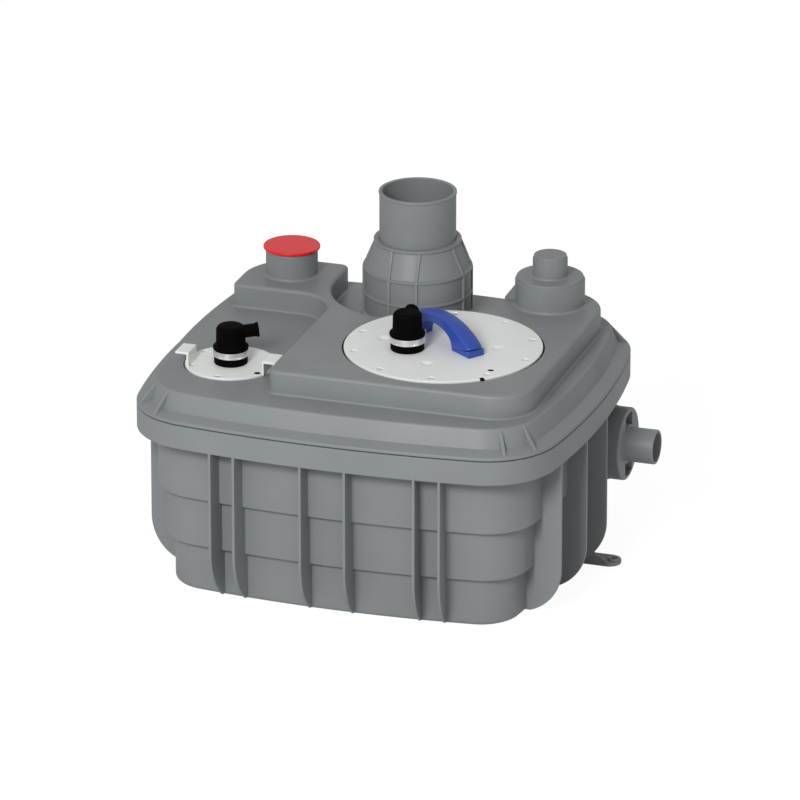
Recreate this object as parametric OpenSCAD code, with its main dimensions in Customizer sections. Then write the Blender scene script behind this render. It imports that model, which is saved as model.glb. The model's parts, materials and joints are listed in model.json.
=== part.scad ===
// Sewage lifting station: a moulded tank with a lift-out pump, a level sensor,
// a vertical inlet, a vent and a side discharge with a non-return valve.
// Origin: middle of the tank on the floor. X right, Y to the rear, Z up. Millimetres.

/* [Tank] */
// Width of the rim, left to right
rim_w = 640; // [610:1:720]
// Depth of the rim, front to rear
rim_d = 570; // [566:1:640]
// Corner radius of the rim
rim_r = 105; // [85:1:125]
// How far the front and the rear bow out
front_bow = 30; // [20:1:40]
// How far each side bows out
side_bow = 33; // [22:1:44]
// Height of the seam between tank and lid
seam_z = 265; // [255:1:300]
// Height of the rim band
band_h = 35; // [28:1:45]
// Wall of the tank
tank_t = 5; // [4:0.5:6]
// How far the upper tier stands behind the band
wall_in = 29; // [24:1:34]
// How far each lower tier steps in at the front and the rear
tier_step = 8; // [5:0.5:10]
// How far each lower tier steps in at the sides
side_step = 12; // [10:0.5:14]
// Height of the step under the upper tier
tier_1_z = 145; // [130:1:155]
// Height of the step under the middle tier
tier_2_z = 71; // [60:1:85]
// Thickness of the stiffening fins
fin_t = 4; // [3:0.5:6]
// Height at which the fins start to curve in
fin_curve_z = 80; // [60:1:100]
// Distance between the two middle fins
fin_gap_mid = 65; // [50:1:80]
// Distance between the fins of an outer pair
fin_gap_pair = 36; // [25:1:45]
// Distance of the outer pairs from the middle
fin_pair_x = 150; // [135:1:160]
// Distance between the fins of a side
fin_gap_side = 94; // [80:1:100]

/* [Floor lugs] */
// How far a lug reaches beyond the tank wall
lug_reach = 68; // [56:1:80]
// Width of a lug
lug_w = 34; // [28:1:45]
// Thickness of a lug
lug_t = 5; // [4:0.5:8]
// Diameter of the fixing hole
lug_hole_d = 9; // [6:0.5:11]
// Height of the collar around the fixing hole
lug_collar_h = 8; // [6:0.5:12]
// How far the fixing hole lies in from the tip of the lug
lug_hole_in = 10; // [8:1:16]
// How far the lugs stand behind the middle
lug_y = 52; // [40:1:70]

/* [Lid] */
// Wall of the lid
lid_t = 4; // [3:0.5:5]
// Thickness of the flat edge of the lid
lid_edge_t = 5; // [4:0.5:7]
// Width of the sloping ledge around the lid
ledge_w = 18; // [14:1:22]
// Rise of the ledge towards the skirt
ledge_rise = 7; // [4:0.5:9]
// Height of the low deck above the seam
low_deck_h = 38; // [32:1:48]
// How far the skirt leans in
skirt_run = 10; // [6:1:14]
// Height of the raised deck above the low deck
raised_deck_h = 35; // [28:1:45]
// Length of a corner gusset beyond the skirt foot
gusset_l = 16; // [11:1:17]
// Thickness of a corner gusset
gusset_t = 5; // [3:0.5:6]

/* [Inlet] */
// Outer diameter of the inlet pipe
inlet_od = 110; // [100:1:112]
// Wall of the inlet pipe
inlet_t = 4.5; // [3:0.5:5.5]
// Diameter of the sleeve around the foot of the pipe
sleeve_d = 153; // [148:1:155]
// Height of the cylindrical part of the sleeve
sleeve_h = 71; // [60:1:80]
// Height of the cone above it
cone_h = 43; // [30:1:50]
// Height of the free end of the pipe above the cone
pipe_free_h = 71; // [60:1:90]
// How far the ribs of the sleeve stand out
sleeve_rib_h = 2.5; // [1.5:0.5:3]
// Thickness of a rib of the sleeve
sleeve_rib_t = 4.5; // [3:0.5:6]
// Distance between the two ribs of a pair
rib_pair_w = 41; // [30:1:50]
// Inlet axis behind the pump axis
inlet_back = 209; // [208:1:215]
// Inlet axis left of the pump axis
inlet_left = 106; // [104:1:112]
// Radius of the recess around the sleeve
recess_r = 119; // [112:1:122]

/* [Vent and spare inlet] */
// Outer diameter of the vent spigot
vent_od = 75; // [63:1:80]
// Vent axis from the left edge of the rim
vent_from_left = 122; // [118:1:126]
// Axes of the vent and of the spare inlet from the rear edge of the rim
vent_from_rear = 117; // [114:1:121]
// Spare inlet axis from the right edge of the rim
spare_from_right = 129; // [126:1:133]
// Height of the vent spigot
vent_h = 40; // [30:1:60]
// Wall of the spigots
spigot_t = 4; // [3:0.5:5]
// Outer diameter of the lower step of the spare inlet
spare_od = 100; // [90:1:104]
// Height of the lower step
spare_h = 42; // [35:1:50]
// Outer diameter of the upper step
spare_top_od = 50; // [40:1:60]
// Height of the upper step
spare_top_h = 32; // [25:1:40]
// Diameter of the vent cap
cap_d = 82; // [80:1:90]
// Thickness of the vent cap
cap_t = 4; // [3:0.5:6]

/* [Pump cover plate] */
// Diameter of the cover plate of the pump
plate_d = 280; // [276:1:284]
// Thickness of both cover plates
plate_t = 10; // [8:0.5:12]
// Number of screws around the pump cover plate
plate_screws = 10; // [8:1:12]
// How far the screw circle lies in from the edge of the pump cover plate
screw_in = 13; // [11:0.5:14]
// Width of the ring that the pump cover plate rests on
seat_w = 22; // [20:1:23]
// Pump axis from the right edge of the rim
pump_from_right = 220; // [216:1:228]
// Pump axis from the front edge of the rim
pump_from_front = 240; // [236:1:246]

/* [Handle] */
// Length of the handle
handle_l = 138; // [120:1:150]
// Width of the handle
handle_w = 28; // [22:1:34]
// Height of the handle above the plate
handle_h = 56; // [50:1:66]
// Length of each foot of the handle
handle_foot = 30; // [24:1:34]
// Angle of the handle
handle_a = -33; // [-50:1:0]

/* [Cable boots] */
// Diameter of the boot body
boot_d = 41; // [36:1:44]
// Diameter of the boot collar
boot_collar_d = 49; // [46:1:52]
// Height of a boot
boot_h = 56; // [50:1:62]
// Diameter of the cable spout
spout_d = 17; // [14:1:19]
// Height of a hose clamp band
clamp_h = 9; // [7:0.5:10]

/* [Level sensor] */
// Diameter of the sensor cover plate
sensor_d = 130; // [126:1:134]
// Sensor axis from the left edge of the rim
sensor_from_left = 128; // [124:1:132]
// Sensor axis from the front edge of the rim
sensor_from_front = 171; // [166:1:180]
// Diameter of the guide rod
rod_d = 12; // [10:1:14]
// Diameter of the float
float_d = 62; // [50:1:80]
// Height of the float
float_h = 48; // [40:1:60]
// Travel of the float
float_travel = 110; // [80:1:120]
// Height of the tabs on the sensor cover plate
tab_h = 20; // [14:1:26]
// Depth of the tabs
tab_w = 35; // [25:1:42]

/* [Pump] */
// Outer diameter of the motor housing
motor_d = 150; // [140:1:160]
// Wall of the motor housing
motor_t = 6; // [5:0.5:8]
// Height of the underside of the motor housing
motor_z = 130; // [126:1:136]
// Outer radius of the volute
volute_r = 90; // [86:1:91]
// Height of the underside of the volute
volute_z = 36; // [30:1:40]
// Diameter of the suction mouth
suction_d = 56; // [50:1:62]
// Diameter of the impeller
impeller_d = 116; // [100:1:130]
// Number of impeller vanes
vanes = 6; // [4:1:8]
// Diameter of the shaft
shaft_d = 15; // [12:1:17]
// Length of the stator stack
stator_l = 84; // [70:1:90]

/* [Discharge] */
// Outer diameter of the discharge pipe and its stub
stub_od = 50; // [48:1:50]
// Wall of the discharge pipe
stub_t = 4; // [3:0.5:5]
// Height of the discharge axis
discharge_z = 151; // [149:1:156]
// Discharge axis behind the middle
discharge_y = 133; // [128:1:138]
// Diameter of the outer flange
flange_d = 105; // [102:1:107]
// Thickness of the outer flange
flange_t = 20; // [16:1:24]
// Length of the stub beyond the flange
stub_l = 42; // [36:1:60]
// Diameter of the valve flap
flap_d = 50; // [48:1:54]
// Diameter of the hinge pin of the flap
pin_d = 5; // [4:0.5:6]

/* [Fits] */
// Clearance around parts that drop into a seat
seat_gap = 0.5; // [0.3:0.1:0.8]
// Radial clearance of running fits
run_gap = 0.05; // [0.02:0.01:0.08]

/* [Hidden] */
$fn = 72;
eps = 0.01;

half_w = rim_w / 2;
half_d = rim_d / 2;
front_r = (half_w * half_w + front_bow * front_bow) / (2 * front_bow);
side_r = (half_d * half_d + side_bow * side_bow) / (2 * side_bow);
front_c = [0, front_r - half_d];
side_c = [half_w - side_r, 0];
centre_gap = norm(side_c - front_c);
centre_dir = (side_c - front_c) / centre_gap;
along = (pow(front_r - rim_r, 2) - pow(side_r - rim_r, 2) + centre_gap * centre_gap) / (2 * centre_gap);
across = sqrt(pow(front_r - rim_r, 2) - along * along);
corner_c = front_c + along * centre_dir + across * [-centre_dir.y, centre_dir.x];
front_a = atan2(corner_c.y - front_c.y, corner_c.x - front_c.x);
side_a = atan2(corner_c.y - side_c.y, corner_c.x - side_c.x);

low_z = seam_z + low_deck_h;
deck_z = low_z + raised_deck_h;
floor_in = wall_in + 2 * tier_step;
narrow_1 = side_step - tier_step;
narrow_2 = 2 * narrow_1;

pump_x = half_w - pump_from_right;
pump_y = pump_from_front - half_d;
sensor_x = sensor_from_left - half_w;
sensor_y = sensor_from_front - half_d;
inlet_x = pump_x - inlet_left;
inlet_y = pump_y + inlet_back;
vent_x = vent_from_left - half_w;
vent_y = half_d - vent_from_rear;
spare_x = half_w - spare_from_right;
spare_y = half_d - vent_from_rear;
recess_x = inlet_x + 9;
recess_y = inlet_y + 1;

plate_z = deck_z - plate_t + 2;
plate_top = plate_z + plate_t;
hole_r = plate_d / 2 - seat_w;
screw_circle_r = plate_d / 2 - screw_in;
bolt_in = 58;
bolt_circle_r = plate_d / 2 - bolt_in;
boss_r = plate_d / 2 + 8;
boss_h = 20;
seal_t = 2;
screw_d = 5;
screw_head_d = 9;
screw_head_h = 3;
screw_l = 20;
screw_sink = 1;
screw_start = -8;
sensor_z = low_z - plate_t + 2;
sensor_top = sensor_z + plate_t;
sensor_seat_w = 19;
sensor_hole_r = sensor_d / 2 - sensor_seat_w;
sensor_screws_n = 6;
sensor_screw_r = sensor_d / 2 - 8;
sensor_screw_start = -90;
sensor_boss_r = sensor_d / 2 + 7;

function on_arc(c, r, a0, a1, n) = [for (k = [0:n])
    let (a = a0 + (a1 - a0) * k / n) c + r * [cos(a), sin(a)]];
function tail(list) = [for (k = [1:len(list) - 1]) list[k]];
function quarter(i) = concat(on_arc(front_c, front_r - i, -90, front_a, 4),
    tail(on_arc(corner_c, rim_r - i, front_a, side_a, 8)),
    tail(on_arc(side_c, side_r - i, side_a, 0, 5)));
function ring_of(q) = concat(q,
    [for (k = [len(q) - 2:-1:0]) [q[k].x, -q[k].y]],
    [for (k = [1:len(q) - 1]) [-q[k].x, -q[k].y]],
    [for (k = [len(q) - 2:-1:1]) [-q[k].x, q[k].y]]);

// outline of the rim, moved in by i and narrower by n on each side, from z upwards
module rim(i, z, h, n = 0) {
    shrink = (half_w - i - n) / (half_w - i);
    translate([0, 0, z]) linear_extrude(h)
        polygon([for (p = ring_of(quarter(i))) [shrink * p.x, p.y]]);
}

module tube(ro, ri, h) {
    difference() {
        cylinder(r = ro, h = h);
        translate([0, 0, -1]) cylinder(r = ri, h = h + 2);
    }
}

module around(n, r, start = 0) {
    for (k = [0:n - 1]) rotate([0, 0, start + 360 * k / n]) translate([r, 0, 0]) children();
}

// fin in the plane of the wall's normal; x counts inwards from the rim outline
module fin_at(c, r, a, step) {
    bite = tank_t / 2;
    top = seam_z - band_h + bite;
    in_1 = wall_in + step;
    in_2 = wall_in + 2 * step;
    arc_r = (fin_curve_z * fin_curve_z + in_2 * in_2) / (2 * in_2);
    edge = on_arc([arc_r, fin_curve_z], arc_r, 180, 180 + asin(fin_curve_z / arc_r), 8);
    translate([c.x, c.y, 0]) rotate([0, 0, a]) translate([r, 0, 0]) rotate([90, 0, 0])
        translate([0, 0, -fin_t / 2]) linear_extrude(fin_t) mirror([1, 0])
        polygon(concat([[0, top]], edge, [[in_2 + bite, bite], [in_2 + bite, tier_2_z + bite],
            [in_1 + bite, tier_2_z + bite], [in_1 + bite, tier_1_z + bite],
            [wall_in + bite, tier_1_z + bite], [wall_in + bite, top]]));
}

right_fin_y = -157;
left_fin_y = -110;
right_fins = [for (k = [0:2]) right_fin_y + k * fin_gap_side];
left_fins = [for (k = [0:2]) left_fin_y + k * fin_gap_side];
front_fins = [fin_gap_mid / 2, fin_pair_x - fin_gap_pair / 2, fin_pair_x + fin_gap_pair / 2];
pad_in = 22;
pad_x = half_w - pad_in;
pad_r = flange_d / 2 + 1;
bolt_r = 38;
bolt_d = 8;
neck_r = 28;
stub_r = stub_od / 2;
bore_r = stub_r - stub_t;

// along the discharge axis, starting at x
module on_axis(x) {
    translate([x, discharge_y, discharge_z]) rotate([0, 90, 0]) children();
}

module fins() {
    for (s = [-1, 1]) for (x = front_fins) {
        fin_at(front_c, front_r, -90 + s * asin(x / front_r), tier_step);
        mirror([0, 1, 0]) fin_at(front_c, front_r, -90 + s * asin(x / front_r), tier_step);
    }
    for (y = right_fins) fin_at(side_c, side_r, asin(y / side_r), side_step);
    mirror([1, 0, 0]) for (y = left_fins) fin_at(side_c, side_r, asin(y / side_r), side_step);
}

floor_x = half_w - floor_in - narrow_2;
lug_x = floor_x + lug_reach;
lug_hole_x = lug_x - lug_hole_in;
module lug() {
    gusset_h = 34;
    inner = floor_x - tank_t / 2;
    difference() {
        union() {
            translate([inner, lug_y - lug_w / 2, 0]) cube([lug_x - lug_w / 2 - inner, lug_w, lug_t]);
            translate([lug_x - lug_w / 2, lug_y, 0]) cylinder(d = lug_w, h = lug_t);
            translate([lug_hole_x, lug_y, 0]) cylinder(r = lug_hole_in - 1, h = lug_collar_h);
            translate([inner, lug_y - lug_w / 2 + fin_t, 0]) rotate([90, 0, 0]) linear_extrude(fin_t)
                polygon([[0, 0], [lug_x - lug_w / 2 - inner, 0], [lug_x - lug_w / 2 - inner, lug_t + 1],
                    [4, gusset_h], [0, gusset_h]]);
        }
        translate([lug_hole_x, lug_y, -1]) cylinder(d = lug_hole_d, h = lug_collar_h + 2);
    }
}

module tank() {
    color("#84888a") difference() {
        union() {
            rim(wall_in, tier_1_z, seam_z - tier_1_z);
            rim(wall_in + tier_step, tier_2_z, tier_1_z - tier_2_z, narrow_1);
            rim(floor_in, 0, tier_2_z, narrow_2);
            difference() {
                rim(0, seam_z - band_h, band_h);
                rim(tank_t, seam_z - band_h - 1, band_h + 1 - tank_t);
            }
            fins();
            lug();
            mirror([1, 0, 0]) lug();
            on_axis(pad_x - 30) cylinder(r = pad_r, h = 30);
        }
        rim(wall_in + tank_t, tier_1_z + tank_t, seam_z - tier_1_z);
        rim(wall_in + tier_step + tank_t, tier_2_z + tank_t, tier_1_z - tier_2_z + eps, narrow_1);
        rim(floor_in + tank_t, tank_t, tier_2_z + eps, narrow_2);
        on_axis(pad_x - 60) cylinder(r = neck_r + seat_gap, h = 80);
        on_axis(pad_x - 60) for (s = [-1, 1]) translate([s * bolt_r, 0, 0]) cylinder(d = bolt_d + 1, h = 80);
    }
}
// Outline of the raised deck, moved in by i: a main field, a block for the vent at the
// rear left, and a round inner corner where the low field of the sensor lies.
deck_side = 52;
deck_front = 77;
deck_rear = 57;
deck_left = sensor_x + sensor_boss_r + 15;
deck_corner_r = 58;
deck_edge_r = 8;
block_side = 54;
block_front = vent_y - 68;
block_rear_r = 78;
block_front_r = 10;
field_r = 60;
module deck_outline(i) {
    xr = half_w - deck_side - deck_corner_r;
    yf = deck_front - half_d;
    yr = half_d - deck_rear;
    xb = block_side - half_w;
    polygon(concat(
        on_arc([deck_left + deck_edge_r, yf + deck_edge_r], deck_edge_r - i, 180, 270, 2),
        on_arc([xr, yf + deck_corner_r], deck_corner_r - i, 270, 360, 6),
        on_arc([xr, yr - deck_corner_r], deck_corner_r - i, 0, 90, 6),
        on_arc([xb + block_rear_r, yr - block_rear_r], block_rear_r - i, 90, 180, 8),
        on_arc([xb + block_front_r, block_front + block_front_r], block_front_r - i, 180, 270, 2),
        on_arc([deck_left - field_r, block_front - field_r], field_r + i, 90, 0, 7)));
}

module recess_outline(i) {
    difference() {
        union() {
            translate([recess_x, recess_y]) circle(r = recess_r + i);
            translate([recess_x - recess_r - i, recess_y]) square([2 * (recess_r + i), half_d]);
        }
        translate([pump_x, pump_y]) circle(r = boss_r - i);
    }
}

module deck_prism(i, z, h) {
    translate([0, 0, z]) linear_extrude(h) difference() {
        deck_outline(i);
        recess_outline(i);
    }
}

gusset_angles = [-58.5, -31];
module gussets() {
    foot = seam_z + lid_edge_t;
    run = ledge_w + skirt_run + 2;
    for (mx = [0, 1]) mirror([mx, 0, 0]) for (my = [0, 1]) mirror([0, my, 0])
        for (a = gusset_angles)
            translate([corner_c.x, corner_c.y, 0]) rotate([0, 0, a]) translate([rim_r - run, gusset_t / 2, 0])
                rotate([90, 0, 0]) linear_extrude(gusset_t)
                polygon([[0, foot - 1], [skirt_run + 2 + gusset_l, foot - 1],
                    [skirt_run + 2 + gusset_l, foot + 1], [2, low_z - 1], [0, low_z - 1]]);
}

inlet_hole_r = inlet_od / 2 + 3;
module lid_shell() {
    foot = seam_z + lid_edge_t;
    difference() {
        union() {
            rim(0, seam_z, lid_edge_t);
            hull() {
                rim(3, foot - eps, eps);
                rim(ledge_w, foot + ledge_rise, eps);
            }
            hull() {
                rim(ledge_w, foot + ledge_rise - eps, eps);
                rim(ledge_w + skirt_run, low_z - eps, eps);
            }
            deck_prism(0, low_z - 2, raised_deck_h + 2);
        }
        hull() {
            rim(ledge_w + lid_t, seam_z - 1, eps);
            rim(ledge_w + skirt_run + lid_t, low_z - lid_t - eps, eps);
        }
        deck_prism(lid_t, low_z - lid_t - 2, raised_deck_h + 2);
    }
}

spare_rib_h = 25;
// upright rib beside the spare inlet, towards the inlet pipe
module spare_rib() {
    foot = recess_x + recess_r - spare_x + 1;
    wall = 2 - spare_od / 2;
    translate([spare_x, spare_y + fin_t / 2, deck_z - 1]) rotate([90, 0, 0]) linear_extrude(fin_t)
        polygon([[foot, 0], [wall, 0], [wall, spare_rib_h + 1], [foot, 2]]);
}

module seat(x, y, z, ro, h) {
    translate([x, y, z - h]) cylinder(r = ro, h = h);
}

// height of the tip of a screw that is sunk in a plate with its top at z
function screw_tip(z) = z - screw_sink - screw_head_h - screw_l;

module lid() {
    color("#84888a") difference() {
        union() {
            lid_shell();
            gussets();
            seat(pump_x, pump_y, deck_z, boss_r, boss_h);
            seat(sensor_x, sensor_y, low_z, sensor_boss_r, boss_h);
            translate([vent_x, vent_y, deck_z - lid_t]) cylinder(d = vent_od, h = vent_h + lid_t);
            translate([spare_x, spare_y, deck_z - lid_t]) cylinder(d = spare_od, h = spare_h + lid_t);
            translate([spare_x, spare_y, deck_z + spare_h - eps]) cylinder(d = spare_top_od, h = spare_top_h);
            spare_rib();
        }
        translate([pump_x, pump_y, 0]) {
            translate([0, 0, deck_z - boss_h - 1]) cylinder(r = hole_r, h = boss_h + 2);
            translate([0, 0, plate_z - seal_t]) cylinder(r = plate_d / 2 + 3, h = plate_t + seal_t);
            translate([0, 0, screw_tip(plate_top)]) around(plate_screws, screw_circle_r, screw_start)
                cylinder(d = screw_d + 0.4, h = screw_l);
        }
        translate([sensor_x, sensor_y, 0]) {
            translate([0, 0, low_z - boss_h - 1]) cylinder(r = sensor_hole_r, h = boss_h + 2);
            translate([0, 0, sensor_z - seal_t]) cylinder(r = sensor_d / 2 + 2, h = plate_t + seal_t);
            translate([0, 0, screw_tip(sensor_top)])
                around(sensor_screws_n, sensor_screw_r, sensor_screw_start)
                cylinder(d = screw_d + 0.4, h = screw_l);
        }
        translate([vent_x, vent_y, deck_z - lid_t - 1])
            cylinder(d = vent_od - 2 * spigot_t, h = vent_h + lid_t + 2);
        translate([spare_x, spare_y, deck_z - lid_t - 1])
            cylinder(d = spare_od - 2 * spigot_t, h = spare_h + lid_t + 1 - spigot_t);
        translate([spare_x, spare_y, deck_z + spare_h - spigot_t - 1])
            cylinder(d = spare_top_od - 2 * spigot_t, h = spare_top_h + 1);
        translate([inlet_x, inlet_y, low_z - lid_t - 1]) cylinder(r = inlet_hole_r, h = lid_t + 2);
    }
}

pipe_top = low_z + sleeve_h + cone_h + pipe_free_h;
sleeve_r = sleeve_d / 2;
collar_r = inlet_od / 2 + 6;
sleeve_t = 4;
neck_pipe_r = inlet_od / 2 - 1;
// rib of the sleeve, w off the middle of its pair, up the wall and the cone
module sleeve_rib(w) {
    pr = sleeve_rib_h;
    foot = sqrt(pow(sleeve_r, 2) - w * w);
    neck = sqrt(pow(collar_r, 2) - w * w);
    translate([0, w + sleeve_rib_t / 2, 0]) rotate([90, 0, 0]) linear_extrude(sleeve_rib_t)
        polygon([[foot - 2, 0], [foot + pr, 0], [foot + pr, sleeve_h],
            [neck + pr, sleeve_h + cone_h - 1], [neck - 2, sleeve_h + cone_h - 1], [foot - 2, sleeve_h]]);
}

module inlet_sleeve() {
    ring_h = 4;
    pr = sleeve_rib_h;
    color("#84888a") translate([inlet_x, inlet_y, low_z]) difference() {
        union() {
            cylinder(r = sleeve_r, h = sleeve_h + eps);
            translate([0, 0, sleeve_h]) cylinder(r1 = sleeve_r, r2 = collar_r, h = cone_h);
            for (z = [(sleeve_h - ring_h) / 2, sleeve_h - ring_h]) translate([0, 0, z])
                cylinder(r = sleeve_r + pr, h = ring_h);
            translate([0, 0, sleeve_h + cone_h - ring_h]) cylinder(r = collar_r + pr, h = ring_h);
            for (q = [0:3]) for (s = [-1, 1]) rotate([0, 0, q * 90]) sleeve_rib(s * rib_pair_w / 2);
        }
        translate([0, 0, 6]) cylinder(r = sleeve_r - sleeve_t, h = sleeve_h - 6);
        translate([0, 0, sleeve_h - eps])
            cylinder(r1 = sleeve_r - sleeve_t, r2 = collar_r - sleeve_t, h = cone_h - 6);
        translate([0, 0, -1]) cylinder(r = neck_pipe_r + eps / 2, h = sleeve_h + cone_h + 2);
    }
}

pipe_dip = 18;
module inlet_pipe() {
    hidden_h = pipe_top - low_z + pipe_dip - pipe_free_h;
    color("#84888a") translate([inlet_x, inlet_y, low_z - pipe_dip]) difference() {
        union() {
            cylinder(r = neck_pipe_r, h = hidden_h + eps);
            translate([0, 0, hidden_h]) cylinder(d = inlet_od, h = pipe_free_h);
        }
        translate([0, 0, -1]) cylinder(d = inlet_od - 2 * inlet_t, h = hidden_h + pipe_free_h + 2);
    }
}

module pipe_seal() {
    color("#1c1c1c") translate([inlet_x, inlet_y, low_z - lid_t])
        tube(inlet_hole_r - 0.1, neck_pipe_r + 0.1, lid_t);
}

module vent_cap() {
    plug_r = vent_od / 2 - spigot_t - 0.3;
    color("#d8202c") translate([vent_x, vent_y, deck_z + vent_h]) {
        cylinder(d = cap_d, h = cap_t);
        translate([0, 0, -12]) tube(plug_r, plug_r - 2.5, 12 + eps);
    }
}

// screw with its head's underside at the origin, pointing down
module screw(d, head_d, head_h, l) {
    cylinder(d = head_d, h = head_h);
    translate([0, 0, -l]) cylinder(d = d, h = l + eps);
}

boot_at = [-44, -28];
boot_bore_r = 18;
nipple_h = 24;
plug_d = 18;
cap_gap = 12;
cap_z = plate_z - cap_gap;
hub_r = 34;
volute_screws_n = 6;
volute_screw_start = 15;
volute_screw_d = 6;
volute_screw_grip = 16;
bolt_ring_r = volute_r - 8;
motor_bolt_d = 8;
handle_at = [4, 11];
foot_c = (handle_l - handle_foot) / 2;

module nipple(z) {
    difference() {
        translate([0, 0, z - 1]) cylinder(r = boot_bore_r, h = nipple_h + 1);
        translate([0, 0, z - plate_t - 1]) cylinder(d = 14, h = nipple_h + plate_t + 2);
    }
}

module handle_holes(d, z, h) {
    translate([handle_at.x, handle_at.y, z]) rotate([0, 0, handle_a])
        for (s = [-1, 1]) translate([s * foot_c, 0, 0]) cylinder(d = d, h = h);
}

module pump_plate() {
    color("#e2e4e2") translate([pump_x, pump_y, 0]) {
        difference() {
            union() {
                translate([0, 0, plate_z]) cylinder(d = plate_d, h = plate_t);
                around(4, bolt_circle_r) translate([0, 0, cap_z]) cylinder(d = plug_d + 4, h = cap_gap + 1);
            }
            translate([boot_at.x, boot_at.y, plate_z - 1]) cylinder(d = 14, h = plate_t + 2);
            around(plate_screws, screw_circle_r, screw_start) {
                translate([0, 0, plate_z - 1]) cylinder(d = screw_d + 0.6, h = plate_t + 2);
                translate([0, 0, plate_top - screw_sink - screw_head_h])
                    cylinder(d = screw_head_d + 0.6, h = screw_head_h + screw_sink + 1);
            }
            around(4, bolt_circle_r) {
                translate([0, 0, cap_z - 1]) cylinder(d = motor_bolt_d + 0.6, h = cap_gap + plate_t);
                translate([0, 0, plate_z + 1]) cylinder(d = plug_d, h = plate_t);
            }
            handle_holes(6.6, plate_z - 1, plate_t + 2);
            rotate([0, 0, -49]) translate([plate_d / 2 - 4, -5, plate_z - 1]) cube([10, 10, plate_t + 2]);
        }
        translate([boot_at.x, boot_at.y, 0]) nipple(plate_top);
    }
}

// flat ring with a raised lip that fills the gap around a cover plate
module lip_seal(x, y, z, r, hole, width) {
    color("#161616") translate([x, y, z - seal_t]) difference() {
        union() {
            cylinder(r = r + width - 0.2, h = seal_t);
            translate([0, 0, seal_t - eps]) tube(r + width - 0.2, r + seat_gap, plate_t - 3);
        }
        translate([0, 0, -1]) cylinder(r = hole + 0.3, h = seal_t + 2);
    }
}

module plate_seal() {
    difference() {
        lip_seal(pump_x, pump_y, plate_z, plate_d / 2, hole_r, 3);
        color("#161616") translate([pump_x, pump_y, plate_z - seal_t - 1])
            around(plate_screws, screw_circle_r, screw_start) cylinder(d = screw_d + 0.6, h = seal_t + 2);
    }
}

module sensor_seal() {
    difference() {
        lip_seal(sensor_x, sensor_y, sensor_z, sensor_d / 2, sensor_hole_r, 2);
        color("#161616") translate([sensor_x, sensor_y, sensor_z - seal_t - 1])
            around(sensor_screws_n, sensor_screw_r, sensor_screw_start)
            cylinder(d = screw_d + 0.6, h = seal_t + 2);
    }
}

module plate_screws() {
    color("silver") translate([pump_x, pump_y, plate_top - screw_sink - screw_head_h])
        around(plate_screws, screw_circle_r, screw_start)
        screw(screw_d, screw_head_d, screw_head_h, screw_l - 1);
}

module sensor_screws() {
    color("silver") translate([sensor_x, sensor_y, sensor_top - screw_sink - screw_head_h])
        around(sensor_screws_n, sensor_screw_r, sensor_screw_start)
        screw(screw_d, screw_head_d, screw_head_h, screw_l - 1);
}

module motor_bolts() {
    color("silver") translate([pump_x, pump_y, plate_z + 1 + eps]) around(4, bolt_circle_r)
        screw(motor_bolt_d, 13, 5, plate_z + 1 - housing_top + motor_flange_t);
}

module bolt_plugs() {
    color("#e2e4e2") translate([pump_x, pump_y, plate_z + 6.1 + eps]) around(4, bolt_circle_r)
        cylinder(d = plug_d - 0.3, h = plate_t - 7.1);
}

// arch with two feet: an outer and an inner half ellipse
module handle() {
    steps = 24;
    grip = 17;
    outer = [for (k = [0:steps]) let (a = 180 * k / steps) [handle_l / 2 * cos(a), handle_h * sin(a)]];
    inner = [for (k = [steps:-1:0]) let (a = 180 * k / steps)
        [(handle_l / 2 - handle_foot) * cos(a), (handle_h - grip) * sin(a)]];
    color("#2b4ba8") difference() {
        translate([pump_x + handle_at.x, pump_y + handle_at.y, plate_top]) rotate([0, 0, handle_a])
            translate([0, handle_w / 2, 0]) rotate([90, 0, 0]) linear_extrude(handle_w)
            polygon(concat(outer, inner));
        translate([pump_x, pump_y, 0]) handle_holes(6.1, plate_top - 1, 15);
    }
}

module handle_screws() {
    color("silver") translate([pump_x, pump_y, 0]) {
        handle_holes(6, plate_z - eps, plate_t + 13);
        handle_holes(11, plate_z - 4, 4);
    }
}

clamp_z = 11.5;
clamp_a = 150;
flare_z = clamp_z + clamp_h + 1.5;
// rubber cap with a collar for the clamp and a side spout for the cable
module boot(a) {
    rc = boot_collar_d / 2;
    rb = boot_d / 2;
    spout_l = 33;
    difference() {
        union() {
            rotate_extrude() polygon([[boot_bore_r + 0.2, 0], [rc - 0.6, 0],
                [rc - 0.6, clamp_z + clamp_h + 0.5], [rc + 0.8, flare_z], [rc + 0.8, flare_z + 2],
                [rb, flare_z + 6], [rb, boot_h - 5], [rb - 4, boot_h - 1], [0, boot_h],
                [0, boot_h - 5], [rb - 5, boot_h - 7], [rb - 4, nipple_h + 3],
                [boot_bore_r + 0.2, nipple_h]]);
            translate([0, 0, boot_h - spout_d / 2 - 3]) rotate([0, 80, a]) {
                translate([0, 0, rb - 5]) cylinder(d = spout_d, h = spout_l - rb + 1);
                translate([0, 0, spout_l - 4]) cylinder(d = spout_d + 2, h = 4);
            }
        }
        translate([0, 0, boot_h - spout_d / 2 - 3]) rotate([0, 80, a])
            translate([0, 0, spout_l - 12]) cylinder(d = spout_d - 7, h = 20);
    }
}

pump_boot_a = 95;
sensor_boot_a = 24;
clamp_screw_r = 3;
module clamp_band(a) {
    rc = boot_collar_d / 2 - 0.4;
    translate([0, 0, clamp_z]) difference() {
        union() {
            cylinder(r = rc + 0.9, h = clamp_h);
            rotate([0, 0, a]) translate([rc, -7, -0.5]) cube([8, 14, clamp_h + 1]);
        }
        translate([0, 0, -1]) cylinder(r = rc, h = clamp_h + 2);
        rotate([0, 0, a]) translate([rc + 4.2, -8, clamp_h / 2]) rotate([-90, 0, 0])
            cylinder(r = clamp_screw_r + 0.1, h = 16);
    }
}

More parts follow.
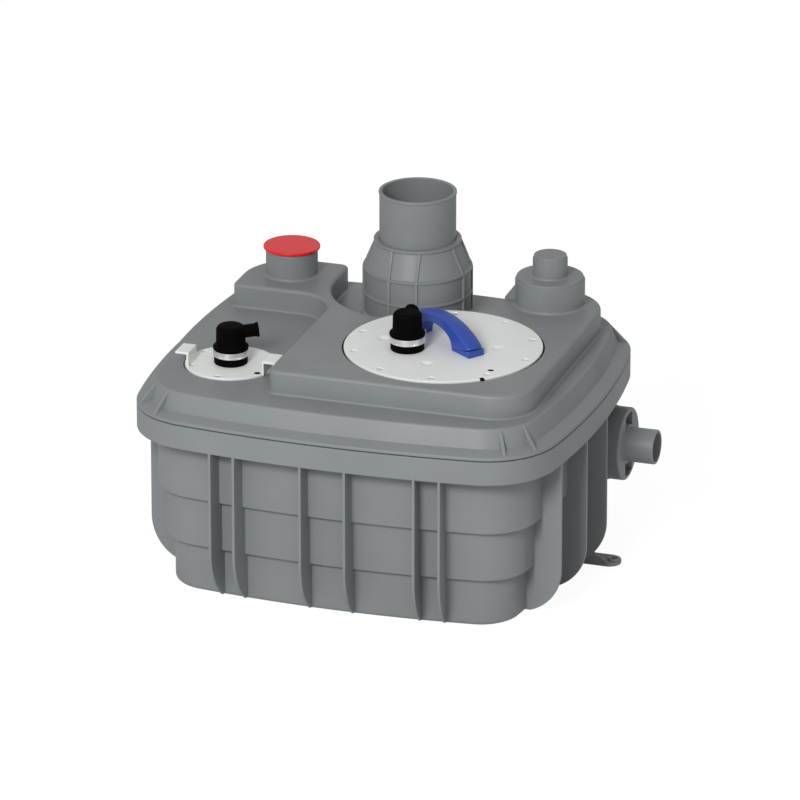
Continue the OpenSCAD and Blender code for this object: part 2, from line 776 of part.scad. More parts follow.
module clamp_screw(a) {
    rc = boot_collar_d / 2 - 0.4;
    translate([0, 0, clamp_z]) rotate([0, 0, a]) translate([rc + 4.2, -9, clamp_h / 2]) rotate([-90, 0, 0]) {
        cylinder(r = clamp_screw_r, h = 17);
        translate([0, 0, -4]) cylinder(r = 4.2, h = 4 + eps, $fn = 6);
    }
}

module at_pump_boot() {
    translate([pump_x + boot_at.x, pump_y + boot_at.y, plate_top + 0.2]) children();
}
module at_sensor_boot() {
    translate([sensor_x, sensor_y, sensor_top + 0.2]) children();
}
module pump_boot() {
    color("#101010") at_pump_boot() boot(pump_boot_a);
}
module pump_boot_clamp() {
    color("silver") at_pump_boot() clamp_band(clamp_a);
}
module pump_clamp_screw() {
    color("silver") at_pump_boot() clamp_screw(clamp_a);
}
module sensor_boot() {
    color("#101010") at_sensor_boot() boot(sensor_boot_a);
}
module sensor_boot_clamp() {
    color("silver") at_sensor_boot() clamp_band(clamp_a);
}
module sensor_clamp_screw() {
    color("silver") at_sensor_boot() clamp_screw(clamp_a);
}

tab_x = sensor_d / 2 - 10;
tab_t = 4;
tab_out = 17;
module sensor_plate() {
    color("#e2e4e2") translate([sensor_x, sensor_y, 0]) {
        difference() {
            translate([0, 0, sensor_z]) cylinder(d = sensor_d, h = plate_t);
            translate([0, 0, sensor_z - 1]) cylinder(d = 14, h = plate_t + 2);
            around(sensor_screws_n, sensor_screw_r, sensor_screw_start) {
                translate([0, 0, sensor_z - 1]) cylinder(d = screw_d + 0.6, h = plate_t + 2);
                translate([0, 0, sensor_top - screw_sink - screw_head_h])
                    cylinder(d = screw_head_d + 0.6, h = screw_head_h + screw_sink + 1);
            }
        }
        nipple(sensor_top);
        for (s = [0, 1]) mirror([s, 0, 0]) translate([tab_x, -tab_w + 14, sensor_top - 1]) {
            cube([tab_t, tab_w, tab_h + 1]);
            translate([0, 0, tab_h + 1 - tab_t]) cube([tab_t + tab_out, tab_w, tab_t]);
        }
    }
}

rod_bottom = 58;
stop_h = 8;
float_z = rod_bottom + 4 + stop_h;
module guide_rod() {
    foot_t = 8;
    color("silver") translate([sensor_x, sensor_y, rod_bottom]) {
        cylinder(d = rod_d, h = sensor_z - rod_bottom);
        translate([0, 0, sensor_z - rod_bottom - foot_t]) cylinder(r = rod_d / 2 + 11, h = foot_t);
    }
}
module float_stop() {
    low = rod_bottom + 4;
    high = float_z + float_h + float_travel + 0.2;
    color("#202020") translate([sensor_x, sensor_y, 0]) for (z = [low, high])
        translate([0, 0, z]) tube(rod_d / 2 + 8, rod_d / 2 + 0.1, stop_h);
}
module level_float() {
    color("#d8d8d0") translate([sensor_x, sensor_y, float_z + 0.1])
        tube(float_d / 2, rod_d / 2 + 0.4, float_h);
}

motor_r = motor_d / 2;
cap_t_m = 14;
housing_top = cap_z - cap_t_m;
bearing_r = 17.5;
bearing_h = 11;
stator_z = motor_z + 60;
shaft_r = shaft_d / 2;
seal_plate_t = 14;
volute_top = motor_z - seal_plate_t;
chamber_r = volute_r - 16;
volute_floor = 10;
outlet_x = 45;
outlet_y = volute_r + 2;
outlet_z = (volute_z + volute_floor + volute_top) / 2;
rotor_r = 30;
bottom_t = 30;
seal_r = 14;

flange_r = bolt_circle_r + 10;
motor_flange_t = 8;
module motor_cap() {
    color("#6e7276") translate([pump_x, pump_y, 0]) difference() {
        union() {
            translate([0, 0, housing_top]) cylinder(r = flange_r, h = cap_t_m);
            translate([0, 0, cap_z - eps]) cylinder(r = hub_r, h = cap_gap);
        }
        translate([0, 0, housing_top - 1]) cylinder(r = bearing_r + 0.05, h = bearing_h + 1);
        around(4, bolt_circle_r) translate([0, 0, housing_top - 1])
            cylinder(d = motor_bolt_d + 0.6, h = cap_t_m + 2);
        translate([boot_at.x, boot_at.y, housing_top - 1]) cylinder(d = 12, h = cap_t_m + 2);
    }
}

module motor_housing() {
    color("#6e7276") translate([pump_x, pump_y, motor_z]) difference() {
        union() {
            cylinder(r = motor_r, h = housing_top - motor_z);
            cylinder(r = volute_r, h = motor_flange_t);
            translate([0, 0, housing_top - motor_z - motor_flange_t])
                cylinder(r = flange_r, h = motor_flange_t);
        }
        translate([0, 0, bottom_t]) cylinder(r = motor_r - motor_t, h = housing_top);
        translate([0, 0, bottom_t - bearing_h]) cylinder(r = bearing_r + 0.05, h = bearing_h + 1);
        translate([0, 0, -1]) cylinder(r = shaft_r + 2, h = bottom_t);
        around(volute_screws_n, bolt_ring_r, volute_screw_start) translate([0, 0, -1])
            cylinder(d = volute_screw_d + 0.6, h = motor_flange_t + 2);
        around(4, bolt_circle_r) translate([0, 0, housing_top - motor_z - motor_flange_t - 1])
            cylinder(d = motor_bolt_d + 0.1, h = motor_flange_t + 2);
    }
}

module stator() {
    ro = motor_r - motor_t - 0.1;
    color("#8a5a2b") translate([pump_x, pump_y, stator_z]) {
        tube(ro, rotor_r + 0.6, stator_l);
        for (z = [-14, stator_l - eps]) translate([0, 0, z]) tube(ro - 8, rotor_r + 5, 14 + eps);
    }
}

module rotor() {
    color("#9a9ea2") translate([pump_x, pump_y, stator_z]) tube(rotor_r, shaft_r, stator_l);
}

shaft_bottom = volute_top - 34;
module shaft() {
    color("#c0c4c8") translate([pump_x, pump_y, shaft_bottom])
        cylinder(r = shaft_r, h = housing_top + bearing_h - 1 - shaft_bottom);
}

module bearing(z) {
    inner = shaft_r + run_gap;
    mid = (bearing_r + inner) / 2;
    color("#b8bcc0") translate([pump_x, pump_y, z]) {
        difference() {
            union() {
                tube(bearing_r, mid + 2, bearing_h);
                tube(mid - 2, inner, bearing_h);
                translate([0, 0, bearing_h / 2 - 1]) tube(mid + 2.5, mid - 2.5, 2);
            }
        }
        around(8, mid) translate([0, 0, bearing_h / 2]) sphere(r = 2.8, $fn = 32);
    }
}
module upper_bearing() {
    bearing(housing_top);
}
module lower_bearing() {
    bearing(motor_z + bottom_t - bearing_h);
}

module shaft_seal() {
    color("#202428") translate([pump_x, pump_y, volute_top - 4]) {
        tube(seal_r, shaft_r + run_gap, seal_plate_t + 4);
    }
}

module seal_plate() {
    color("#6e7276") translate([pump_x, pump_y, volute_top]) difference() {
        cylinder(r = volute_r, h = seal_plate_t);
        translate([0, 0, -1]) cylinder(r = seal_r + 0.1, h = seal_plate_t + 2);
        around(volute_screws_n, bolt_ring_r, volute_screw_start) translate([0, 0, -1])
            cylinder(d = volute_screw_d + 0.6, h = seal_plate_t + 2);
    }
}

module impeller() {
    disc_t = 5;
    disc_z = volute_top - 10;
    vane_h = 22;
    vane_t = 4;
    r = impeller_d / 2;
    color("#4a4e52") translate([pump_x, pump_y, 0]) difference() {
        union() {
            translate([0, 0, disc_z]) cylinder(r = r, h = disc_t);
            translate([0, 0, shaft_bottom]) cylinder(r = shaft_r + 9, h = disc_z - shaft_bottom + disc_t);
            around(vanes, 0) translate([shaft_r + 4, -vane_t / 2, disc_z - vane_h])
                cube([r - shaft_r - 5, vane_t, vane_h + 1]);
        }
        translate([0, 0, shaft_bottom - 1]) cylinder(r = shaft_r, h = disc_z);
    }
}

module impeller_screw() {
    color("silver") translate([pump_x, pump_y, shaft_bottom - 6]) cylinder(r = shaft_r + 5, h = 6, $fn = 6);
}

module volute() {
    color("#565b5f") translate([pump_x, pump_y, 0]) difference() {
        union() {
            translate([0, 0, volute_z]) cylinder(r = volute_r, h = volute_top - volute_z);
            translate([outlet_x, 0, outlet_z]) rotate([-90, 0, 0]) cylinder(r = stub_r, h = outlet_y);
        }
        translate([0, 0, volute_z + volute_floor]) cylinder(r = chamber_r, h = volute_top);
        translate([0, 0, volute_z - 1]) cylinder(d = suction_d, h = volute_floor + 2);
        translate([outlet_x, 0, outlet_z]) rotate([-90, 0, 0]) cylinder(r = bore_r, h = outlet_y + 1);
        around(volute_screws_n, bolt_ring_r, volute_screw_start)
            translate([0, 0, volute_top - volute_screw_grip - 2])
            cylinder(d = volute_screw_d + 0.1, h = volute_screw_grip + 4);
    }
}

module volute_screws() {
    color("silver") translate([pump_x, pump_y, motor_z + motor_flange_t + eps])
        around(volute_screws_n, bolt_ring_r, volute_screw_start)
        screw(volute_screw_d, 10, 4, motor_flange_t + seal_plate_t + volute_screw_grip);
}

module pump_feet() {
    foot_r = 13;
    color("#1c1c1c") translate([pump_x, pump_y, tank_t]) around(3, (suction_d / 2 + volute_r + 6) / 2, 90)
        cylinder(r = foot_r, h = volute_z - tank_t);
}

face_y = pump_y + outlet_y;
riser_x = pump_x + outlet_x;
valve_x = riser_x + stub_r + 12;
valve_neck_l = 40;
valve_end = pad_x - valve_neck_l;
valve_r = 44;
valve_screw_d = 5;
valve_screw_l = 20;
coupling_gap = 0.3;
coupling_t = 3;
module coupling_seal() {
    color("#1c1c1c") translate([riser_x, face_y + coupling_gap, outlet_z]) rotate([-90, 0, 0])
        tube(stub_r + 4, bore_r, coupling_t);
}

// pipe along a rectangular route: to the rear, up, and to the right
module riser_run(r, extra) {
    start = face_y + coupling_gap + coupling_t;
    translate([riser_x, start - extra, outlet_z]) rotate([-90, 0, 0])
        cylinder(r = r, h = discharge_y - start + extra);
    translate([riser_x, discharge_y, outlet_z]) sphere(r = r);
    translate([riser_x, discharge_y, outlet_z]) cylinder(r = r, h = discharge_z - outlet_z);
    translate([riser_x, discharge_y, discharge_z]) sphere(r = r);
    translate([riser_x, discharge_y, discharge_z]) rotate([0, 90, 0])
        cylinder(r = r, h = valve_x - riser_x + extra);
}

valve_screw_r = valve_r - 4.5;
riser_flange_t = 8;
nozzle_l = 8;
module riser_pipe() {
    color("#84888a") difference() {
        union() {
            riser_run(stub_r, 0);
            translate([riser_x, face_y + coupling_gap + coupling_t, outlet_z]) rotate([-90, 0, 0])
                cylinder(r = stub_r + 6, h = riser_flange_t);
            on_axis(valve_x - riser_flange_t) cylinder(r = valve_r, h = riser_flange_t);
            on_axis(valve_x - 1) cylinder(r = bore_r + 2.5, h = nozzle_l + 1);
        }
        riser_run(bore_r, 1);
        on_axis(valve_x - 1) cylinder(r = bore_r, h = nozzle_l + 2);
        on_axis(valve_x - riser_flange_t - 1) around(4, valve_screw_r)
            cylinder(d = valve_screw_d + 0.5, h = riser_flange_t + 2);
    }
}

flap_t = 4;
flap_gap = 0.3;
flap_x = valve_x + nozzle_l + flap_gap;
pin_x = valve_x + nozzle_l - 1;
pin_z = discharge_z + flap_d / 2 + 4;
pin_l = 60;
chamber_v = valve_r - 8;
end_wall = 12;
module valve_body() {
    color("#84888a") difference() {
        union() {
            on_axis(valve_x) cylinder(r = valve_r, h = valve_end - valve_x);
            on_axis(valve_end - 1) cylinder(r = neck_r, h = pad_x - valve_end + 1);
        }
        on_axis(valve_x - 1) cylinder(r = chamber_v, h = valve_end - valve_x - end_wall + 1);
        on_axis(valve_x) cylinder(r = bore_r, h = pad_x);
        translate([pin_x, discharge_y - pin_l / 2 - 1, pin_z]) rotate([-90, 0, 0])
            cylinder(d = pin_d + 0.04, h = pin_l + 2);
        on_axis(valve_x - 1) around(4, valve_screw_r)
            cylinder(d = valve_screw_d + 0.1, h = valve_screw_l - riser_flange_t + 2);
        for (s = [-1, 1]) on_axis(valve_end - end_wall + 1) translate([s * bolt_r, 0, 0])
            cylinder(d = bolt_d + 0.1, h = end_wall);
    }
}

module valve_screws() {
    color("silver") on_axis(valve_x - riser_flange_t - eps) around(4, valve_screw_r)
        mirror([0, 0, 1]) screw(valve_screw_d, 8, 3.5, valve_screw_l);
}

module flap_pin() {
    color("silver") translate([pin_x, discharge_y - pin_l / 2, pin_z]) rotate([-90, 0, 0])
        cylinder(d = pin_d, h = pin_l);
}

module valve_flap() {
    hub_r = pin_d / 2 + 2;
    arm_w = 16;
    arm_h = 14;
    color("#202428") difference() {
        union() {
            on_axis(flap_x) cylinder(d = flap_d, h = flap_t);
            translate([pin_x, discharge_y - arm_w / 2 - 1, pin_z]) rotate([-90, 0, 0])
                cylinder(r = hub_r, h = arm_w + 2);
            translate([flap_x, discharge_y - arm_w / 2, pin_z - arm_h]) cube([flap_t, arm_w, arm_h]);
        }
        translate([pin_x, discharge_y - arm_w, pin_z]) rotate([-90, 0, 0])
            cylinder(r = pin_d / 2 + run_gap, h = 2 * arm_w);
    }
}

gasket_t = 3;
flange_x = pad_x + gasket_t;
module flange_gasket() {
    color("#1c1c1c") on_axis(pad_x) difference() {
        cylinder(d = flange_d - 2, h = gasket_t);
        translate([0, 0, -1]) cylinder(r = bore_r, h = gasket_t + 2);
        for (s = [-1, 1]) translate([s * bolt_r, 0, -1]) cylinder(d = bolt_d + 1, h = gasket_t + 2);
    }
}

pocket_depth = flange_t - 7;
pocket_w = 34;
module discharge_flange() {
    color("#74787a") on_axis(flange_x) difference() {
        union() {
            cylinder(d = flange_d, h = flange_t);
            cylinder(d = stub_od, h = flange_t + stub_l);
        }
        translate([0, 0, -1]) cylinder(r = bore_r, h = flange_t + stub_l + 2);
        for (s = [0, 180]) rotate([0, 0, s]) {
            translate([bolt_r, 0, -1]) cylinder(d = bolt_d + 1, h = flange_t);
            intersection() {
                translate([0, 0, flange_t - pocket_depth])
                    tube(flange_d / 2 - 5, stub_r + 3, pocket_depth + 1);
                translate([stub_r, -pocket_w / 2, 0]) cube([flange_d / 2, pocket_w, flange_t + 1]);
            }
        }
    }
}

module discharge_bolts() {
    head_x = flange_x + flange_t - pocket_depth + eps;
    reach = head_x - valve_end + end_wall - 2;
    color("silver") on_axis(head_x) for (s = [-1, 1]) translate([s * bolt_r, 0, 0]) {
        cylinder(r = 7, h = 5.5, $fn = 6);
        translate([0, 0, -reach]) cylinder(d = bolt_d, h = reach + eps);
    }
}

tank();
lid();
inlet_sleeve();
inlet_pipe();
pipe_seal();
vent_cap();
pump_plate();
plate_seal();
plate_screws();
motor_bolts();
bolt_plugs();
handle();
handle_screws();
pump_boot();
pump_boot_clamp();
pump_clamp_screw();
sensor_plate();
sensor_seal();
sensor_screws();
sensor_boot();
sensor_boot_clamp();
sensor_clamp_screw();
guide_rod();
level_float();
float_stop();
motor_housing();
motor_cap();
stator();
rotor();
shaft();
upper_bearing();
lower_bearing();
shaft_seal();
seal_plate();
impeller();
impeller_screw();
volute();
volute_screws();
pump_feet();
coupling_seal();
riser_pipe();
valve_body();
valve_flap();
flap_pin();
valve_screws();
flange_gasket();
discharge_flange();
discharge_bolts();
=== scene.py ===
# A grey sewage lifting station in a plain white studio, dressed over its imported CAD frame.
# Shapes are worked out in millimetres, with x to the right, y to the rear and z up.
import json
import bpy
import bmesh
import numpy as np
from mathutils import Matrix, Vector
from mathutils.geometry import tessellate_polygon


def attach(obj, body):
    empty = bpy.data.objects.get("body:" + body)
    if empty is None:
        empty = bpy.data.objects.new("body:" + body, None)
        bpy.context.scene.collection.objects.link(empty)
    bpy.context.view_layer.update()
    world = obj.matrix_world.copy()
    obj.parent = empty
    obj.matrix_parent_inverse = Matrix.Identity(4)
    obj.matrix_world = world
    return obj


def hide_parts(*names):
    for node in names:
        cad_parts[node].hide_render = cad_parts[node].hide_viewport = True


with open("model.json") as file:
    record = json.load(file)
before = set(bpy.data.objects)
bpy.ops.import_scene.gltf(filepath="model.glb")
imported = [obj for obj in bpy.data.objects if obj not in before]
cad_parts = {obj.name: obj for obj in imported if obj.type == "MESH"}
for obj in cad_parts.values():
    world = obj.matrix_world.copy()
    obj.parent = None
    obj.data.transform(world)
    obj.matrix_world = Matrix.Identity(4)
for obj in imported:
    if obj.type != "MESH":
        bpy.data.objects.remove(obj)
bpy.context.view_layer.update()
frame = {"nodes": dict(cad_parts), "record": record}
nodes = frame["nodes"]
mm = 0.001
print("frame loaded:", len(nodes), "nodes")

def linear(hexColour):
    # sRGB to linear: a low value over 12.92, a higher one plus 0.055 over 1.055 to the power 2.4
    c = np.array([int(hexColour[k:k + 2], 16) for k in (1, 3, 5)]) / 255
    c = np.where(c <= 0.04045, c / 12.92, ((c + 0.055) / 1.055) ** 2.4)
    return (*c.tolist(), 1.0)


def addNode(tree, kind, settings={}, values={}, links={}):
    # one shader node, with its settings, the values on its sockets and the sockets that feed it
    node = tree.nodes.new(kind)
    for name, value in settings.items():
        setattr(node, name, value)
    for name, value in values.items():
        node.inputs[name].default_value = value
    for name, socket in links.items():
        tree.links.new(socket, node.inputs[name])
    return node


def joinedMath(tree, operation, first, second):
    # the output of one math node fed by two sockets
    return addNode(tree, "ShaderNodeMath", settings={"operation": operation},
                   links={0: first, 1: second}).outputs[0]


def finish(look):
    # wide noise mixes two near tones and two near roughnesses; fine noise lifts the surface
    # by grainHeight; sizes in mm become noise scales as 1000 over the size
    material = bpy.data.materials.new(look["name"])
    material.use_nodes = True
    tree = material.node_tree
    shader = tree.nodes["Principled BSDF"]
    place = addNode(tree, "ShaderNodeTexCoord")
    stretch = addNode(tree, "ShaderNodeMapping", values={"Scale": look.get("stretch", (1, 1, 1))},
                      links={"Vector": place.outputs["Object"]})
    mottle = addNode(tree, "ShaderNodeTexNoise", values={"Scale": 1000 / look["mottle"], "Detail": 3.0},
                     links={"Vector": place.outputs["Object"]})
    spread = addNode(tree, "ShaderNodeMapRange", values={"From Min": 0.3, "From Max": 0.7},
                     links={"Value": mottle.outputs["Fac"]})
    tone = addNode(tree, "ShaderNodeMix", settings={"data_type": "RGBA"},
                   links={"Factor": spread.outputs["Result"]})
    tone.inputs[6].default_value = linear(look["colour"])
    tone.inputs[7].default_value = linear(look["second"])
    gloss = addNode(tree, "ShaderNodeMapRange",
                    values={"From Min": 0.3, "From Max": 0.7, "To Min": look["rough"][0],
                            "To Max": look["rough"][1]},
                    links={"Value": mottle.outputs["Fac"]})
    grain = addNode(tree, "ShaderNodeTexNoise", values={"Scale": 1000 / look["grain"], "Detail": 2.0},
                    links={"Vector": stretch.outputs["Vector"]})
    lift = addNode(tree, "ShaderNodeBump",
                   values={"Strength": look.get("strength", 0.5), "Distance": look["grainHeight"] * mm},
                   links={"Height": grain.outputs["Fac"]})
    tree.links.new(tone.outputs[2], shader.inputs["Base Color"])
    tree.links.new(gloss.outputs["Result"], shader.inputs["Roughness"])
    tree.links.new(lift.outputs["Normal"], shader.inputs["Normal"])
    for name, value in look.get("sockets", {}).items():
        shader.inputs[name].default_value = value
    return material


looks = {
    # polyethylene, moulded: cool mid grey, waxy and half matt, a faint cloudiness and a very fine grain
    "grey_polyethylene": {"name": "mouldedPolyethylene", "colour": "#868A8C", "second": "#818587",
                          "mottle": 90, "rough": (0.42, 0.5), "grain": 1.6, "grainHeight": 0.02,
                          "sockets": {"IOR": 1.5, "Specular IOR Level": 0.4}},
    # glass-filled polyamide, moulded: off-white with a silky top and a tiny fibre texture
    "pale_plate": {"name": "mouldedPolyamide", "colour": "#F1F3F1", "second": "#ECEEEC",
                   "mottle": 40, "rough": (0.38, 0.46), "grain": 1.2, "grainHeight": 0.02,
                   "sockets": {"IOR": 1.53, "Specular IOR Level": 0.4}},
    # soft-touch polypropylene, moulded: saturated royal blue with a broad soft highlight
    "grip_blue": {"name": "mouldedPolypropylene", "colour": "#2B4BA8", "second": "#2747A2",
                  "mottle": 25, "rough": (0.3, 0.38), "grain": 1.0, "grainHeight": 0.015,
                  "sockets": {"IOR": 1.49}},
    # ABS, moulded: bright red, even and slightly glossy
    "vent_red": {"name": "mouldedAbs", "colour": "#F01523", "second": "#EA1320",
                 "mottle": 30, "rough": (0.3, 0.36), "grain": 1.0, "grainHeight": 0.01,
                 "sockets": {"IOR": 1.52, "Specular IOR Level": 0.35}},
    # EPDM rubber, pressed: near black, dull, with a dusty fine grain; the same black also serves as painted
    # shade in the plates' hole, pocket and notch
    "black_rubber": {"name": "pressedRubberAndHoleShade", "colour": "#040404", "second": "#020202",
                     "mottle": 20, "rough": (0.7, 0.8), "grain": 0.8, "grainHeight": 0.02,
                     "sockets": {"IOR": 1.5, "Specular IOR Level": 0.05}},
    # stainless steel, rolled and brushed: bright, with fine lines along its turning
    "stainless": {"name": "brushedStainless", "colour": "#EDEDEA", "second": "#E2E2DF",
                  "mottle": 15, "rough": (0.32, 0.42), "grain": 0.8, "grainHeight": 0.01,
                  "stretch": (1, 1, 12), "sockets": {"Metallic": 1.0}},
    # grey iron, sand cast and painted: dark grey, rough, with a pebbled skin
    "motor_casting": {"name": "paintedCastIron", "colour": "#3A4046", "second": "#33383D",
                      "mottle": 30, "rough": (0.45, 0.6), "grain": 2.2, "grainHeight": 0.15,
                      "sockets": {"IOR": 1.5}},
    # enamelled copper wire, wound: warm and shiny, in fine lines around the slots
    "copper_winding": {"name": "enamelledCopper", "colour": "#B4693A", "second": "#A45C30",
                       "mottle": 12, "rough": (0.25, 0.35), "grain": 1.0, "grainHeight": 0.1,
                       "stretch": (1, 1, 8), "sockets": {"Metallic": 1.0}},
    # glass-filled polyamide, moulded black: dull black with a light bloom
    "impeller_plastic": {"name": "mouldedBlackPolyamide", "colour": "#25282B", "second": "#1F2225",
                         "mottle": 20, "rough": (0.4, 0.5), "grain": 1.4, "grainHeight": 0.04,
                         "sockets": {"IOR": 1.53}},
    # polypropylene, welded hollow float: milky white, waxy
    "float_shell": {"name": "weldedPolypropylene", "colour": "#DAD9CF", "second": "#D2D1C6",
                    "mottle": 25, "rough": (0.35, 0.45), "grain": 1.5, "grainHeight": 0.03,
                    "sockets": {"IOR": 1.49}},
}
finishes = {slotName: finish(look) for slotName, look in looks.items()}
slotOf = {part["node"]: part["material_slot"] for part in frame["record"]["subparts"]}
for nodeName, node in nodes.items():
    node.data.materials.clear()
    node.data.materials.append(finishes[slotOf[nodeName]])
print("finishes made:", len(finishes))

def roundedPath(points, radii, steps=6):
    # each inner corner becomes an arc that touches both its sides: the arc starts and ends at
    # radius / tan(half angle) from the corner, and its centre lies at radius / sin(half angle)
    p = np.array(points, float)
    r = np.array(radii, float)[:, None]
    toBack = p[:-2] - p[1:-1]
    toNext = p[2:] - p[1:-1]
    toBack /= np.linalg.norm(toBack, axis=1, keepdims=True)
    toNext /= np.linalg.norm(toNext, axis=1, keepdims=True)
    half = np.arccos(np.clip((toBack * toNext).sum(1, keepdims=True), -1, 1)) / 2
    middle = toBack + toNext
    middle /= np.linalg.norm(middle, axis=1, keepdims=True)
    centre = p[1:-1] + middle * r / np.sin(half)
    first = p[1:-1] + toBack * r / np.tan(half) - centre
    last = p[1:-1] + toNext * r / np.tan(half) - centre
    turn = (np.pi - 2 * half)[:, None]
    t = np.linspace(0, 1, steps + 1)[None, :, None]
    bends = (np.sin((1 - t) * turn) * first[:, None] + np.sin(t * turn) * last[:, None]) / np.sin(turn)
    bends += centre[:, None]
    return np.concatenate([p[:1], bends.reshape(-1, 2), p[-1:]])


def arcs(rows):
    # rows of centre, radius, side (1 bulges out, -1 in), angles and steps, joined to one outline
    centres, directions, radii, sides = [], [], [], []
    for cx, cy, radius, side, start, end, steps, closed in rows:
        a = np.radians(np.linspace(start, end, steps + closed, endpoint=bool(closed)))
        directions.append(np.stack([np.cos(a), np.sin(a)], 1))
        centres.append(np.tile((cx, cy), (len(a), 1)))
        radii.append(np.full(len(a), float(radius)))
        sides.append(np.full(len(a), float(side)))
    return [np.concatenate(v) for v in (centres, directions, radii, sides)]


def outlineRings(outline, path, narrow=None):
    # path holds (inset, height): a point is centre plus (radius minus side times inset) along its
    # direction; narrow then shrinks each ring's x in proportion, so that its side moves in by that much
    centres, directions, radii, sides = outline
    inset = path[:, 0][:, None, None]
    flat = centres + (radii[:, None] - sides[:, None] * inset) * directions
    if narrow is not None:
        reach = flat[..., 0].max(1)
        flat = flat * np.stack([1 - narrow / reach, np.ones(len(path))], 1)[:, None, :]
    height = np.broadcast_to(path[:, 1][:, None, None], (*flat.shape[:2], 1))
    return np.concatenate([flat, height], 2)


def turnedRings(path, centre, count=96, lean=None):
    # path holds (radius, height), turned about an upright axis through centre; lean turns it otherwise
    a = np.linspace(0, 2 * np.pi, count, endpoint=False)
    r, z = path[:, 0][:, None], path[:, 1][:, None]
    rings = np.stack([r * np.cos(a), r * np.sin(a), z + 0 * a], 2)
    if lean is not None:
        rings = rings @ np.array(lean).T
    return rings + np.array(centre, float)


def skin(rings, around=True):
    # quads between the rows of a grid, closed in the second direction where it runs around
    rows, columns = rings.shape[:2]
    k = np.arange(rows * columns).reshape(rows, columns)
    right = np.roll(k, -1, 1) if around else k[:, 1:]
    left = k if around else k[:, :-1]
    faces = np.stack([left[:-1], right[:-1], right[1:], left[1:]], 2).reshape(-1, 4)
    return rings.reshape(-1, 3), faces.tolist()


def flatFace(loops):
    # a flat face inside the first loop with the other loops as holes
    faces = tessellate_polygon([[Vector(p) for p in loop] for loop in loops])
    return np.concatenate(loops), [list(f) for f in faces]


def tube(rings):
    # a skin with both ends closed
    return [skin(rings), flatFace([rings[0]]), flatFace([rings[-1]])]


def slab(outline, holes, origin, along, up, thick):
    # a flat outline in the plane of along and up, given its thickness to both sides
    origin, along, up = (np.array(v, float) for v in (origin, along, up))
    out = np.cross(along, up)
    parts, lows, highs = [], [], []
    for loop in [outline, *holes]:
        loop = np.array(loop, float)
        flat = origin + loop[:, :1] * along + loop[:, 1:] * up
        lows.append(flat - out * thick / 2)
        highs.append(flat + out * thick / 2)
        parts.append(skin(np.stack([lows[-1], highs[-1]])))
    return parts + [flatFace(lows), flatFace(highs)]


def circle(x, y, radius, count=64):
    # x plus radius times the cosine, y plus radius times the sine
    a = np.linspace(0, 2 * np.pi, count, endpoint=False)
    return np.stack([x + radius * np.cos(a), y + radius * np.sin(a)], 1)


def level(flat, z):
    # a flat outline set at height z
    return np.column_stack([flat, np.full(len(flat), float(z))])


def makePiece(name, parts, body, slotName, replaces=(), wall=0, bevel=0, sharp=38):
    # parts are joined, doubles merged and faces turned outwards; wall thickens inwards, bevel rounds edges
    verts = np.concatenate([v for v, f in parts]) * mm
    starts = np.cumsum([0] + [len(v) for v, f in parts])
    faces = [[i + s for i in f] for (v, fs), s in zip(parts, starts) for f in fs]
    mesh = bpy.data.meshes.new(name)
    mesh.from_pydata(verts.tolist(), [], faces)
    work = bmesh.new()
    work.from_mesh(mesh)
    bmesh.ops.remove_doubles(work, verts=work.verts, dist=2e-6)
    bmesh.ops.dissolve_degenerate(work, edges=work.edges, dist=1e-7)
    bmesh.ops.recalc_face_normals(work, faces=work.faces)
    work.to_mesh(mesh)
    work.free()
    mesh.shade_smooth()
    mesh.set_sharp_from_angle(angle=np.radians(sharp))
    mesh.materials.append(finishes[slotName])
    piece = bpy.data.objects.new(name, mesh)
    bpy.context.scene.collection.objects.link(piece)
    if wall:
        shell = piece.modifiers.new("wall", "SOLIDIFY")
        shell.thickness = wall * mm
        shell.offset = -1
    if bevel:
        edge = piece.modifiers.new("edge", "BEVEL")
        edge.width = bevel * mm
        edge.segments = 3
        edge.limit_method = "ANGLE"
        edge.angle_limit = np.radians(40)
        edge.harden_normals = True
    even = piece.modifiers.new("even", "WEIGHTED_NORMAL")
    even.keep_sharp = True
    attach(piece, body)
    if replaces:
        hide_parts(*replaces)
    return piece


rim = {"width": 640, "depth": 570, "corner": 105, "frontBow": 30, "sideBow": 33, "seam": 265}


def rimOutline():
    # front and side are shallow arcs; the corner circle touches both from inside
    halfW, halfD = rim["width"] / 2, rim["depth"] / 2
    frontR = (halfW ** 2 + rim["frontBow"] ** 2) / (2 * rim["frontBow"])
    sideR = (halfD ** 2 + rim["sideBow"] ** 2) / (2 * rim["sideBow"])
    front, side = np.array([0, frontR - halfD]), np.array([halfW - sideR, 0])
    gap = np.linalg.norm(side - front)
    run = (side - front) / gap
    along = ((frontR - rim["corner"]) ** 2 - (sideR - rim["corner"]) ** 2 + gap ** 2) / (2 * gap)
    across = np.sqrt((frontR - rim["corner"]) ** 2 - along ** 2)
    cx, cy = front + along * run + across * np.array([-run[1], run[0]])
    fa = np.degrees(np.arctan2(cy - front[1], cx))
    sa = np.degrees(np.arctan2(cy, cx - side[0]))
    r = rim["corner"]
    rows = [
        (0, front[1], frontR, 1, -180 - fa, fa, 40, 0),
        (cx, cy, r, 1, fa, sa, 20, 0),
        (side[0], 0, sideR, 1, sa, -sa, 32, 0),
        (cx, -cy, r, 1, -sa, -fa, 20, 0),
        (0, -front[1], frontR, 1, -fa, 180 + fa, 40, 0),
        (-cx, -cy, r, 1, 180 + fa, 180 + sa, 20, 0),
        (-side[0], 0, sideR, 1, 180 + sa, 180 - sa, 32, 0),
        (-cx, cy, r, 1, 180 - sa, 180 - fa, 20, 0),
    ]
    return arcs(rows), frontR, sideR, (front, side, np.array([cx, cy]))


rimLine, frontR, sideR, (frontCentre, sideCentre, cornerCentre) = rimOutline()

